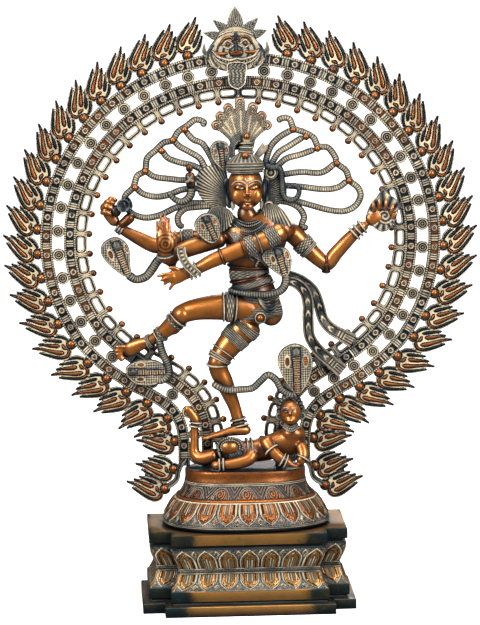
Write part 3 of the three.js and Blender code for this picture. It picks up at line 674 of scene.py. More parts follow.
def plinth_profile():
    """Rows of z, half sizes, kind, tone and v, from inside the hollow, under the rim and up the outside."""
    rows = [(165.0, 69, 41, "plain", DARK, 0), (146.0, 69, 43, "plain", DARK, 0),
            (126.0, 84, 68, "plain", DARK, 0), (101.0, 92, 78, "plain", DARK, 0)]
    wall = [(100.8, 99.5, 90.5), (102.0, 102.0, 92.0), (104.0, 103.8, 92.8), (107.0, 104.5, 93.0),
            (110.0, 103.6, 92.0), (114.0, 101.5, 89.5), (120.0, 98.0, 85.8), (126.0, 94.6, 81.5),
            (131.0, 91.0, 76.5), (135.0, 87.6, 72.0), (138.0, 84.6, 68.6), (142.0, 81.0, 64.2),
            (146.0, 78.4, 60.0), (150.0, 77.0, 55.6), (153.0, 76.4, 52.4), (156.0, 75.8, 49.8),
            (160.0, 75.5, 48.4), (168.0, 75.5, 48.0)]
    zs, halves_x, halves_y = np.array(wall).T

    def row(z, out, kind, tone, v=0.0):
        rows.append((z, float(np.interp(z, zs, halves_x)) + out, float(np.interp(z, zs, halves_y)) + out,
                     kind, tone, v))

    for z, out, tone in ((100.8, -1, 0.2), (101.6, 0, 0.7), (103.0, 0.3, 0.35), (104.4, -0.3, 0.15),
                         (105.2, 0.3, 0.9), (106.2, 0.6, 0.9), (107.0, -0.3, 0.15), (107.8, 0.4, 0.85),
                         (108.6, -0.1, 0.3)):
        row(z, out, "plain", tone)
    for v in np.linspace(1, 0, 29):
        row(109.2 + 24.4 * (1 - v), -0.6, "petals", 0.8, v)
    for z, out, tone in ((134.0, 0.3, 0.9), (134.9, 0.4, 0.9), (135.4, -0.4, 0.2), (136.0, 0.9, 0.55),
                         (137.0, 1.4, 0.6), (138.0, 0.6, 0.5), (138.5, -0.6, 0.15)):
        row(z, out, "plain", tone)
    for z in np.arange(139.0, 152.6, 0.7):
        row(float(z), -0.4, "scroll", 0.5)
    for z, out, tone in ((152.8, -0.5, 0.15), (153.2, 0.5, 0.8), (153.9, 0.5, 0.8), (154.4, -0.5, 0.2),
                         (155.0, 0.5, 0.8), (155.8, 0.5, 0.75), (156.4, -0.2, 0.4)):
        row(z, out, "plain", tone)
    for z in (157.5, 160, 163, 166, 168):
        row(z, 0, "drum", 0.52)
    for z, out in ((169.2, -0.3), (169.9, -1.2), (170.0, -2.4)):
        row(z, out, "drum", 0.42)
    for out in (-7, -14, -22, -30, -38):
        row(170.0, out, "drum", 0.36)
    return rows


def scroll_relief(u, z):
    """Vine scrolls: arches of two lines with a coiled bud inside, and leaves between them."""
    across = ((u + 0.5) % 1.0 - 0.5) * 36.0
    height_z = z - 140.5
    arch = np.hypot(across / 11.5, height_z / 11.0)
    lines = ridge(arch, 0.98, 0.08) + ridge(arch, 0.78, 0.07)
    bud = np.hypot(across + 1.5, height_z - 3.6)
    angle = np.arctan2(height_z - 3.6, across + 1.5)
    coil = 0.5 + 0.5 * np.cos(bud * 2.1 - angle)
    leaf = 0.5 + 0.5 * np.cos((np.abs(across) - 18 + 0.8 * height_z) * 1.5)
    height = np.where(arch < 0.7, 0.8 * coil, np.where(arch > 1.08, 0.8 * leaf, np.clip(lines, 0, 1)))
    beyond = np.where(arch > 1.08, 0.2 + 0.55 * leaf, 0.15 + 0.65 * lines)
    tone = np.where(arch < 0.7, 0.15 + 0.45 * coil, beyond)
    return height, np.clip(tone, 0, 0.85)


def oval_points(half_x, half_y, count, z):
    """Points evenly far apart round a squared oval, from the middle of the front, with outward ways."""
    turn = np.linspace(-np.pi / 2, 1.5 * np.pi, 2881)
    bend = lambda value: np.sign(value) * np.abs(value) ** (2 / SQUARENESS)
    line = np.column_stack([half_x * bend(np.cos(turn)), half_y * bend(np.sin(turn))])
    lengths = lengths_along(line)
    spots = np.linspace(0, lengths[-1], count, endpoint=False)
    points = np.column_stack([np.interp(spots, lengths, line[:, 0]), np.interp(spots, lengths, line[:, 1])])
    way = unit(np.roll(points, -1, 0) - np.roll(points, 1, 0))
    normal = np.column_stack([way[:, 1], -way[:, 0]])
    return np.column_stack([points, np.full(count, z)]), np.column_stack([normal, np.zeros(count)])


def plinth_form():
    form = Form()
    count = 680
    around = np.arange(count) / count
    points, tones = [], []
    for z, half_x, half_y, kind, tone, v in plinth_profile():
        ring, normal = oval_points(half_x, half_y, count, z)
        height = np.zeros(count)
        level = np.full(count, tone)
        if kind == "petals":
            height, level = petal_relief(around * PLINTH_PETALS * PETAL_PITCH, v, 24.0)
        elif kind == "scroll":
            height, level = scroll_relief(around * SCROLLS, z)
        points.append(ring + normal * height[:, None])
        tones.append(level)
    form.grid(np.array(points), np.array(tones), wrap_cols=True, caps=True)
    return form


make_piece("pedestal_cast", pedestal_form(), base_brass, ["pedestal"])
make_piece("lotus_plinth_cast", plinth_form(), relief_brass, ["lotus_plinth"])


# ---- ring of flames ----

PLATE_Y = 12.0
RING_HALF_WIDTH, RING_HALF_HEIGHT, RING_CENTRE_Z, RING_ARC_END = 243.0, 227.0, 455.0, 120.0
RING_FOOT = [(199, 325), (174, 300), (143, 277), (121, 264.5), (102, 252.5), (88.5, 240), (80, 225),
             (76, 204), (76, 170.3)]
BAND_HALF, BAND_SPACING = 7.0, 29.5
ROSETTE_PITCH, RAIL_PITCH, FLAME_PITCH, FOOT_FLAME_PITCH = 29.8, 25.5, 29.2, 37.0
RAIL_INSET = BAND_SPACING + BAND_HALF
RAIL_WIDTH = 13.0
FLAMES_PER_SIDE, FLAMES_CLOSE, FLAME_START = 24, 20, 60.0
FLAME_LEAN = [26, 34, 36, 36, 34, 30, 27, 28, 4, 12]
PANEL = 24.0


def ring_path():
    """The outer band's middle line on the right, from the crown to the foot, every millimetre."""
    turn = np.radians(np.arange(0, RING_ARC_END + 1, 2))
    arc = np.column_stack([RING_HALF_WIDTH * np.sin(turn), RING_CENTRE_Z + RING_HALF_HEIGHT * np.cos(turn)])
    return curve(np.vstack([arc, RING_FOOT]), 1.0)


PATH, PATH_AT = ring_path()
PATH_LENGTH = PATH_AT[-1]
PATH_WAY = unit(np.gradient(PATH, axis=0))


def on_ring(distance, inset):
    """Points at distances along the path, moved towards the middle of the ring."""
    x, z = np.interp(distance, PATH_AT, PATH[:, 0]), np.interp(distance, PATH_AT, PATH[:, 2])
    way_x, way_z = np.interp(distance, PATH_AT, PATH_WAY[:, 0]), np.interp(distance, PATH_AT, PATH_WAY[:, 2])
    return np.stack([x + way_z * inset, np.full_like(x, PLATE_Y), z - way_x * inset], -1)


def ring_spot(distance, inset):
    return on_ring(np.array([distance]), inset)[0]


def evenly(inset, first, pitch):
    """Distances along the path that are evenly spaced on the line at an inset from it."""
    distance = np.arange(0, PATH_LENGTH - 8)
    line = on_ring(distance, inset)
    travelled = lengths_along(line)
    return np.interp(np.arange(first, travelled[-1], pitch), travelled, distance)


BAND_ACROSS = np.array([-7.5, -7.0, -6.1, -5.5, -5.0, -4.5, -3.7, -3.0, -2.2, -1.5, -0.7, 0,
                        0.7, 1.5, 2.2, 3.0, 3.7, 4.5, 5.0, 5.5, 6.1, 7.0, 7.5])


def band(form, start, end, inset):
    """A band of the ring: raised edges and rosette panels between triple bars."""
    distance = np.arange(start, end, 0.5)
    lane = on_ring(distance, inset)
    whole = on_ring(np.arange(0, start + 1, 2.0), inset)
    offset = np.linalg.norm(np.diff(whole, axis=0), axis=1).sum()
    line, along = resample(lane, 0.95)
    s = (along + offset)[:, None]
    t = BAND_ACROSS[None]
    side = np.abs(t)
    u = (s + PANEL / 2) % PANEL - PANEL / 2
    radius = np.hypot(u, t)
    to_bar = PANEL / 2 - np.abs(u)
    edge = ridge(side, 6.0, 1.3) * (0.8 + 0.2 * np.cos(s * 2 * np.pi / 2.9))
    ring = ridge(radius, 2.9, 0.9) + ridge(radius, 0, 1.1)
    bars = ridge(to_bar, 0, 1.0) + ridge(to_bar, 3.0, 1.0)
    inner = side < 4.7
    height = np.where(inner, 0.9 * np.clip(np.maximum(ring, bars), 0, 1) - 0.7, 0.9 * edge)
    ground = np.where(to_bar > 5.2, 0.37 + 0.12 * np.cos(s / 31.0), 0.10) + 0 * t
    tone = np.where(ring > 0.3, np.where(radius > 1.6, 0.82, 0.55), np.where(bars > 0.3, 0.84, ground))
    tone = np.where(inner, tone, np.where(edge > 0.45, 0.74 + 0.16 * np.cos(s * 2 * np.pi / 2.9), 0.30))
    tone = np.where(np.abs(side - 4.6) < 0.4, 0.08, tone)
    slab(form, line, np.broadcast_to(t, tone.shape), height, tone, 3.2)


ROSETTE = [(0, 4.6, 0.75), (1.2, 4.4, 0.7), (1.7, 3.2, 0.12), (2.5, 3.2, 0.12), (2.9, 4.3, 0.72),
           (3.9, 4.3, 0.72), (4.4, 3.0, 0.1), (5.2, 3.0, 0.1), (5.6, 4.2, 0.8), (6.9, 4.0, 0.8),
           (7.6, 2.8, 0.5), (8.0, 1.2, 0.2)]


def rail_frame(form, start, end):
    """A rounded slot frame of the rail between two bars, with a line along its middle."""
    middle = (start + end) / 2
    half_long = (end - start) / 2
    long_mm = np.linalg.norm(ring_spot(end, RAIL_INSET + 6) - ring_spot(start, RAIL_INSET + 6)) / 2
    corner = 4.6
    half_x, half_z = long_mm - 2.6, RAIL_WIDTH / 2 - 1.0
    straight_x, straight_z = half_x - corner, half_z - corner
    turn = np.radians(np.arange(0, 91, 15))
    quarter = [(1, 1, 0), (-1, 1, 90), (-1, -1, 180), (1, -1, 270)]
    loop = [
        (sx * straight_x + corner * math.cos(a + math.radians(base)),
         sz * straight_z + corner * math.sin(a + math.radians(base))) for sx, sz, base in quarter
        for a in turn
    ]
    loop, _ = resample(np.array([(x, 0, z) for x, z in loop + loop[:1]]), 1.6)
    loop = loop[:-1]
    distance = middle + loop[:, 0] * half_long / long_mm
    insets = RAIL_INSET + RAIL_WIDTH / 2 - loop[:, 2]
    points = np.array([ring_spot(d, inset) for d, inset in zip(distance, insets)])
    across = np.array([-2.6, -2.2, -1.6, -0.9, -0.4, 0.4, 0.9, 1.6, 2.2, 2.6])
    height = np.array([0, 0.7, 0.9, 0.5, -0.3, -0.3, 0.5, 0.9, 0.7, 0])
    tones = np.array([0.2, 0.76, 0.86, 0.68, 0.06, 0.06, 0.68, 0.86, 0.76, 0.2])
    slab(form, points, across, height, tones, 2.4, closed=True)


def rail_bar(form, distance):
    """Three ribs from the inner band across the rail, with a small bead on the end."""
    inset = np.linspace(RAIL_INSET - 1.5, RAIL_INSET + RAIL_WIDTH + 1.5, 10)
    line = np.array([ring_spot(distance, value) for value in inset])
    across = np.array([-3.0, -2.5, -1.9, -1.2, -0.6, 0, 0.6, 1.2, 1.9, 2.5, 3.0])
    height = np.array([0, 0.8, 0.8, -0.2, 0.8, 1.0, 0.8, -0.2, 0.8, 0.8, 0])
    tones = np.array([0.3, 0.82, 0.84, 0.1, 0.80, 0.86, 0.80, 0.1, 0.84, 0.82, 0.3])
    slab(form, line, across, height, tones, 2.2)
    bead(form, ring_spot(distance, RAIL_INSET + RAIL_WIDTH + 4.0), 4.3, tone=0.44)


# Tongues of a flame, from the bead out: across, along and half width, then the tone at the root and the tip.
TONGUES = [
    ([(9.6, 11.4, 1.2), (9.2, 14.4, 2.1), (7.8, 20, 1.9), (4.6, 29, 1.4), (1.4, 38, 1.0), (0, 48, 0.25)],
     0.60, 0.42), ([(0.2, 16.2, 1.2), (-0.2, 19, 2.0), (-1.2, 25, 1.7), (-2.9, 32, 1.1), (-4.3, 40, 0.25)],
                   0.56, 0.34), ([(6.4, 4.2, 1.0), (9.6, 3.6, 1.5), (14.0, 6.4, 1.5), (15.6, 12.4, 1.4),
                                  (14.2, 20, 1.2), (10.4, 30, 0.9), (6.6, 40, 0.25)], 0.50, 0.16),
    ([(-5.0, 12.4, 0.9), (-6.0, 16.8, 1.5), (-7.4, 24, 1.2), (-9, 34, 0.25)], 0.20, 0.12),
    ([(-6.6, 4.6, 0.8), (-9.8, 9.4, 1.1), (-11.6, 16.6, 1.0), (-12.4, 27, 0.25)], 0.30, 0.12),
    ([(0.0, 10.4, 0.9), (2.6, 9.4, 1.6), (4.8, 7.6, 0.9)], 0.54, 0.50),
]
TONGUE_LINES = [(line, root, tip) for line, (_, root, tip) in
                zip(strokes(*[controls for controls, _, _ in TONGUES]), TONGUES)]
COLLAR_RADIUS = 7.4
WEB = closed([(-4, 0), (-10, 8), (-11, 18), (-9, 27), (0, 31), (8, 29), (13, 20), (14, 10), (9, 3), (3, 0)])


def flame_prototype():
    """One flame, rooted at the origin and growing along +Z, in the ring's plate."""

    def outside(x, z):
        rims = [stroke_distance(x, z, line, 2.0, 0.9)[0] for line, _, _ in TONGUE_LINES]
        return np.min(rims + [np.hypot(x, z) - COLLAR_RADIUS, outline_distance(x, z, WEB)], axis=0)

    def surface(x, z):
        core = np.full(x.shape, np.inf)
        groove = np.full(x.shape, np.inf)
        tone = np.zeros(x.shape)
        for line, root, tip in TONGUE_LINES:
            distance, share = stroke_distance(x, z, line)
            wide, _ = stroke_distance(x, z, line, 1.15, 0.55)
            tone = np.where(distance < core, root + (tip - root) * share, tone)
            core, groove = np.minimum(core, distance), np.minimum(groove, wide)
        edge = -outside(x, z)
        cream = np.where(edge < 0.2, 0.12, 0.85)
        bead_gap = np.abs(np.hypot(x, z) - 5.6) < 0.8
        height = np.where(core < 0, 0.2 + 1.2 * np.sqrt(np.clip(-core / 1.4, 0, 1)),
                          np.where(groove < 0, -0.7, 0.7))
        tones = np.where(core < 0, tone, np.where(groove < 0, DARK, cream))
        return np.where(bead_gap, -0.5, height), np.where(bead_gap, 0.08, tones)

    form = Form()
    plaque(form, outside, surface, 2.2, (-16, 20, -9, 52), cell=0.62)
    return form


FLAME = flame_prototype()
ARM_FLAMES = [(89.0, 167.0), (101.0, 142.0)]


def add_flame(form, index):
    """A flame at its place on the right side of the ring, with its copper bead."""
    share = index / (FLAMES_PER_SIDE - 1)
    lean = np.interp(share * (len(FLAME_LEAN) - 1), range(len(FLAME_LEAN)), FLAME_LEAN)
    on_arm = index - FLAMES_PER_SIDE + len(ARM_FLAMES)
    if on_arm >= 0:
        x, z = ARM_FLAMES[on_arm]
        spot, outwards = np.array([x, PLATE_Y, z]), np.array([1.0, 0.0, 0.0])
    else:
        distance = flame_distance(index)
        spot = ring_spot(distance, -BAND_HALF - 4.0)
        outwards = unit(ring_spot(distance, -1.0) - ring_spot(distance, 0.0))
    turn = math.radians(lean)
    along = np.array([outwards[0] * math.cos(turn) - outwards[2] * math.sin(turn), 0,
                      outwards[0] * math.sin(turn) + outwards[2] * math.cos(turn)])
    across = np.array([along[2], 0, -along[0]])
    placed = Form()
    placed.points = [spot + p[:, :1] * across + p[:, 2:] * along + p[:, 1:2] * [0, 1, 0]
                     for p in FLAME.points]
    placed.tones, placed.quads, placed.tris, placed.count = FLAME.tones, FLAME.quads, FLAME.tris, FLAME.count
    form.take(placed)
    bead(form, spot, 5.4, tone=0.56)


def flame_distance(index):
    """How far along the path a flame stands; those near the foot are further apart."""
    wide = max(0, index - FLAMES_CLOSE + 1)
    return FLAME_START + FLAME_PITCH * min(index, FLAMES_CLOSE - 1) + FOOT_FLAME_PITCH * wide


def ring_form(start, end):
    """The right side's half of a ring casting between two distances along the path."""
    form = Form()
    band(form, start, end, 0.0)
    band(form, start, end, BAND_SPACING)
    for distance in evenly(BAND_SPACING / 2, 33, ROSETTE_PITCH):
        if start <= distance < end:
            turned(form, ring_spot(distance, BAND_SPACING / 2), ROSETTE)
    bars = evenly(RAIL_INSET + RAIL_WIDTH, 26, RAIL_PITCH)
    bars = np.concatenate([[bars[0] - (bars[1] - bars[0])], bars])
    for distance, following in zip(bars, bars[1:]):
        if start <= following < end:
            rail_bar(form, following)
        if start <= (distance + following) / 2 < end:
            rail_frame(form, distance, following)
    for index in range(FLAMES_PER_SIDE - len(ARM_FLAMES)):
        if start <= flame_distance(index) < end:
            add_flame(form, index)
    return form


RING_JOINTS = [0, 107, 326, 570, PATH_LENGTH]


def make_ring():
    crown = ring_form(RING_JOINTS[0], RING_JOINTS[1])
    make_piece("ring_crown_cast", Form().take(crown).take(crown.mirror()), relief_brass,
               ["ring_crown"])
    for part, start, end in zip(("upper", "lower", "foot"), RING_JOINTS[1:], RING_JOINTS[2:]):
        form = ring_form(start, end)
        if part == "foot":
            arm, _ = curve([(75, PLATE_Y, 180), (83, PLATE_Y, 166), (87, PLATE_Y, 152), (101, PLATE_Y, 142)],
                           1.2)
            slab(form, arm, np.array([-3.6, -2.6, -1.4, 0, 1.4, 2.6, 3.6]),
                 np.array([0, 1, 0.6, -0.3, 0.6, 1, 0]), np.array([0.5, 0.8, 0.7, 0.1, 0.7, 0.8, 0.5]), 2.6)
            for index in range(FLAMES_PER_SIDE - len(ARM_FLAMES), FLAMES_PER_SIDE):
                add_flame(form, index)
        for side, made in (("right", form), ("left", form.mirror())):
            make_piece(f"ring_{part}_{side}_cast", made, relief_brass, [f"ring_{part}_{side}"])


make_ring()

# ---- figure: station rows are x, y, z, half width, half depth ----

TORSO = [
    (18, -8, 350, 27, 18), (17, -8, 360, 31, 21), (17, -8, 372, 32, 22), (15, -8, 390, 27, 20),
    (10, -8, 410, 24, 19), (9, -8, 422, 25, 19), (11, -9, 440, 31, 21), (17, -9, 460, 40, 20),
    (19, -8, 474, 35, 15), (10, -8, 483, 15, 12), (7, -9, 491, 12.8, 10.5), (7, -9, 502, 12.5, 10),
]
RAISED_LEG = [
    (20, -12, 368, 15, 18), (2, -14, 372, 17.5, 18), (-22, -16, 374, 17, 17), (-54, -16, 372, 14, 14),
    (-73, -15, 367, 12.5, 12.5), (-82, -13, 359, 11.5, 11), (-92, -9, 349, 10.5, 10),
    (-104, -5, 339, 8.5, 8), (-117, 0, 331, 7, 7), (-128, 2, 327, 8, 6), (-140, 3, 321, 9, 5),
    (-150, 3, 317, 8, 4),
]
STANDING_LEG = [
    (10, -11, 358, 20, 18), (2, -12, 346, 19, 17), (-12, -13, 332, 17, 16), (-24, -15, 318, 15, 14),
    (-32, -16, 305, 12.5, 13), (-31, -15, 294, 12, 12), (-25, -14, 280, 11.5, 12), (-18, -13, 262, 9.5, 10),
    (-12, -12, 246, 8, 8), (-8, -12, 230, 8, 8), (-6, -13, 221, 10, 9),
]
STANDING_FOOT = [
    (8, -13, 217, 5, 6), (0, -14, 218, 7, 8), (-12, -16, 218, 7, 8), (-26, -18, 215.5, 5, 8),
    (-40, -20, 212.8, 3.6, 8.5), (-48, -21, 211.6, 2.8, 8),
]
DRUM_ARM = [(-22, 0, 462, 11, 11), (-52, 0, 458, 12, 11), (-78, 0, 456, 11.5, 11), (-98, 0, 451, 10.5, 10.5),
            (-110, 0, 452, 10, 10), (-126, 0, 460, 9, 9), (-146, 0, 471, 6.8, 6.5), (-154, 1, 477, 6, 6)]
BLESSING_ARM = [(-20, -18, 460, 10, 9), (-55, -23, 452, 11, 9), (-80, -26, 444, 10, 9),
                (-92, -29, 438, 9, 8), (-95, -34, 445, 9.5, 6.5), (-95, -37, 455, 11, 6),
                (-96, -37, 466, 11, 5), (-96.5, -36, 475, 10, 4)]
CROSSING_ARM = [(54, -26, 470, 12, 10), (26, -36, 457, 12, 10), (-4, -38, 447, 10.5, 9.5),
                (-36, -38, 435, 9, 9), (-58, -38, 424, 7.5, 7.5), (-70, -38, 420, 8, 6),
                (-82, -39, 416, 9.5, 5.5), (-92, -39, 413, 9, 4.5)]
FLAME_ARM = [(50, 0, 472, 13, 13), (66, 0, 461, 12.5, 12), (82, 0, 444, 11.5, 11), (100, 0, 427, 9.5, 10),
             (108, 0, 424, 9.5, 10), (118, 0, 436, 9, 9), (134, 0, 453, 8.2, 8), (148, 0, 466, 6.8, 6.5),
             (158, 1, 473, 8, 6)]
BODY_PARTS = [TORSO, RAISED_LEG, STANDING_LEG, STANDING_FOOT,
              DRUM_ARM, BLESSING_ARM, CROSSING_ARM, FLAME_ARM]


def limb(form, rows, tones=COPPER, sides=24, step=1.4, **settings):
    line, _ = curve(rows, step)
    tube(form, line, line[:, 3], line[:, 4], tones, sides, **settings)


def ball(form, centre, sizes, tone=COPPER, sides=18):
    """A ball squeezed to three half sizes."""
    turn = np.linspace(0.06, np.pi - 0.06, 12)[:, None]
    angle = angles_round(sides)
    points = np.stack([np.sin(turn) * np.cos(angle), np.sin(turn) * np.sin(angle),
                       -np.cos(turn) + 0 * angle], -1)
    form.grid(points * np.asarray(sizes, float) + centre, tone, wrap_cols=True, caps=True)


def front_line(rows, spots, lift=0.0, step=1.5):
    """A line that lies on the front of an upright limb, through spots of x and z."""
    flat, _ = curve(spots, step)
    rows = np.asarray(rows, float)
    order = np.argsort(rows[:, 2])
    x, y, wide, deep = (np.interp(flat[:, 2], rows[order, 2], rows[order, i]) for i in (0, 1, 3, 4))
    side = np.clip(np.abs(flat[:, 0] - x) / wide, 0, 0.98)
    flat[:, 1] = y - deep * np.sqrt(1 - side ** 2) - lift
    return flat


def cuff(form, rows, near, length, ribs=3, proud=1.4, beads=0, low=0.12, high=0.86):
    """A ribbed ring of metal round a limb, nearest to a spot of x and z."""
    line, along = curve(rows, 0.5)
    middle = along[np.argmin(np.hypot(line[:, 0] - near[0], line[:, 2] - near[1]))]
    kept = np.abs(along - middle) <= length / 2
    line, at = line[kept], (along[kept] - middle) / length * 2
    sides = 56
    angle = angles_round(sides)
    beading = np.cos(angle * beads)[None] if beads else 1.0 + 0 * angle[None]
    wave = 0.5 + 0.5 * np.cos(at * np.pi * ribs)[:, None] * beading
    rise = (proud + 0.8 * wave) * smoothstep(0, 0.12, 1 - np.abs(at))[:, None]
    tube(form, line, line[:, 3], line[:, 4], low + (high - low) * wave ** 1.5, sides, relief=rise,
         round_ends=(False, False))


def braid(form, line, half, thick=1.2, pitch=5.0, lanes=3, low=0.12, high=0.85, front=FRONT):
    """A chased strap along a line: raised rims with a row of loops between them."""
    s = lengths_along(line[:, :3])[:, None]
    t = np.linspace(-1, 1, 15)[None]
    half = np.broadcast_to(half, (len(line),))[:, None]
    rim = ridge(np.abs(t), 0.86, 0.16)
    loops = 0.5 + 0.5 * np.cos(s * 2 * np.pi / pitch) * np.cos(t * np.pi * lanes / 2)
    wave = np.where(np.abs(t) > 0.7, rim, loops)
    slab(form, line[:, :3], t * half, 0.9 * wave, low + (high - low) * wave ** 1.4, thick, front=front)


def cord(form, line, radius, pitch=2.9, tone=0.88, dip=0.7, sides=12):
    """A ribbed cord, darker in its grooves and at its sides."""
    line, along = resample(line[:, :3], 0.8)
    angle = angles_round(sides)
    rib = 0.5 + 0.5 * np.cos(along * 2 * np.pi / pitch)[:, None]
    face = np.abs(np.sin(angle))[None]
    tube(form, line, radius, radius, (tone - dip + dip * rib) * (0.05 + 0.95 * face ** 1.8), sides,
         relief=0.25 * rib + 0 * face)


def fused(name, form, paint, voxel, material, nodes, smooth=7, crease=60):
    """Runs a form's overlapping bodies together into one skin and paints its tones."""
    rough = link(bpy.data.objects.new(name + "_rough", form_mesh(name + "_rough", form)))
    remesh = rough.modifiers.new("fuse", "REMESH")
    remesh.mode = "VOXEL"
    remesh.voxel_size = voxel * MM
    soften = rough.modifiers.new("soften", "SMOOTH")
    soften.factor, soften.iterations = 0.5, smooth
    seen = rough.evaluated_get(bpy.context.evaluated_depsgraph_get())
    made = bpy.data.meshes.new_from_object(seen)
    made.name = name
    bpy.data.objects.remove(rough)
    spots = np.empty(len(made.vertices) * 3)
    made.vertices.foreach_get("co", spots)
    write_tones(made, split_tone(paint(spots.reshape(-1, 3) / MM)))
    return dress(bpy.data.objects.new(name, made), material, nodes, crease)


def near_line(points, spots):
    """How far points are from a smooth line through spots."""
    line, _ = curve(spots, 0.6)
    return np.min([np.linalg.norm(points - spot, axis=1) for spot in line], axis=0)


def plain_tone(level):
    return lambda points: np.full(len(points), level)


def digits(form, roots, tips, root_radius, tip_radius, bend=(0, 0, 0)):
    """Fingers or toes between matching roots and tips, bent at the middle."""
    for root, tip in zip(roots, tips):
        root, tip = np.array(root, float), np.array(tip, float)
        middle = (root + tip) / 2 + bend
        between = (root_radius + tip_radius) / 2
        rows = [(*root, root_radius, root_radius), (*middle, between, between),
                (*tip, tip_radius, tip_radius)]
        limb(form, rows, sides=10, step=1.0)


def make_body():
    body = Form()
    for rows in BODY_PARTS:
        limb(body, rows)
    ball(body, (52, -8, 468), (15, 15, 14))
    ball(body, (-16, -6, 464), (13, 14, 12))
    ball(body, (0, -20, 456), (15, 9, 11))
    ball(body, (32, -20, 458), (15, 9, 11))
    ball(body, (36, -4, 364), (15, 17, 17))
    ball(body, (-76, -16, 366), (13, 14, 12))
    ball(body, (-34, -20, 305), (11, 11, 11))
    ball(body, (-87, -8, 351), (11, 10, 12))
    # toes of the standing foot and of the raised one
    digits(body, [(-44, y, 211.5) for y in (-29, -25, -21, -17, -14)],
           [(-54 + i * 1.2, -31 + i * 4.4, 210.8) for i in range(5)], 2.6, 2.3)
    digits(body, [(-146, -1, 325), (-148, 0, 321), (-150, 0, 317), (-150, 0, 313.5), (-148, 0, 311)],
           [(-160, -2, 325), (-161, -2, 319.5), (-160, -2, 314.5), (-158, -2, 310), (-155, -2, 306.5)], 2.6,
           1.9, (0, -1.5, 0))
    # fingers of the blessing hand
    digits(body, [(-103.5, -37, 462), (-98.8, -38, 463), (-93.8, -38, 463), (-89.2, -37, 462)],
           [(-105.5, -34, 486), (-100.6, -34, 495), (-95.2, -34, 496), (-90.4, -34, 490)], 2.35, 1.8,
           (0, -1.0, 0))
    digits(body, [(-87, -38, 450)], [(-83, -38, 474)], 3.4, 2.1, (2.5, 0, 0))
    # fingers of the pointing hand, drooping from the palm
    digits(body, [(-84, -42, 419), (-84, -43, 416), (-83, -42, 413), (-80, -41, 411)],
           [(-107, -40, 416.5), (-103, -40, 410.5), (-99, -39, 405.5), (-92, -39, 398.5)], 3.0, 2.0,
           (-1, -1, 1.5))
    digits(body, [(-76, -40, 422)], [(-93, -43, 427)], 3.2, 2.2, (0, 0, 2))
    # drum hand: a fist of four bent fingers over the drum, and the palm behind
    limb(body, [(-154, 1, 477, 6, 6), (-161, 2, 488, 8, 6), (-166, 3, 499, 9, 6), (-168, 3, 507, 7, 5)])
    digits(body, [(-174, -2, 493), (-172, -3, 500), (-169, -3, 506), (-163, -3, 510)],
           [(-160, -8, 491), (-158, -9, 498), (-156, -9, 504), (-153, -8, 508)], 3.2, 2.8, (-2, -4, 3))
    # flame hand: palm up with a rounded fan of fingers
    limb(body, [(158, 1, 473, 8, 6), (168, 1, 480, 11, 6), (178, 2, 484, 11, 5)])
    digits(body, [(166, -2, 488), (173, -3, 490), (180, -3, 489), (186, -2, 484), (187, 0, 477)],
           [(165, -4, 501), (173, -5, 505), (182, -5, 504), (191, -4, 497), (196, -2, 488)], 3.2, 2.2,
           (0, -2, 0))

    def paint(points):
        x, y, z = points.T
        tone = np.full(len(points), 0.56)
        upper_arm = (x > 48) & (x < 92) & (z > 430) | (x < -22) & (x > -80) & (z > 446) & (y > -20)
        tone = np.where(upper_arm, 0.47, tone)
        chest = (z > 390) & (z < 470) & (x > -14) & (x < 50) & (y > -34)
        tone = np.where(chest, 0.44, np.where((z > 476) & (np.abs(x - 7) < 20), 0.46, tone))
        palm = (x > -112) & (x < -80) & (z > 444) & (z < 470) & (y < -36)
        ring = np.cos(np.hypot(x + 95, z - 457) * 1.35)
        tone = np.where(palm, np.where(ring > 0.1, 0.50, 0.36), tone)
        fingers = (x > -112) & (x < -74) & (z >= 470) & (z < 500) & (y < -26)
        return np.where(fingers, 0.40, tone)

    fused("body_cast", body, paint, 1.15, skin_brass,
          ["torso", "raised_leg", "standing_leg", "drum_arm", "flame_arm", "crossing_arm", "blessing_arm"])


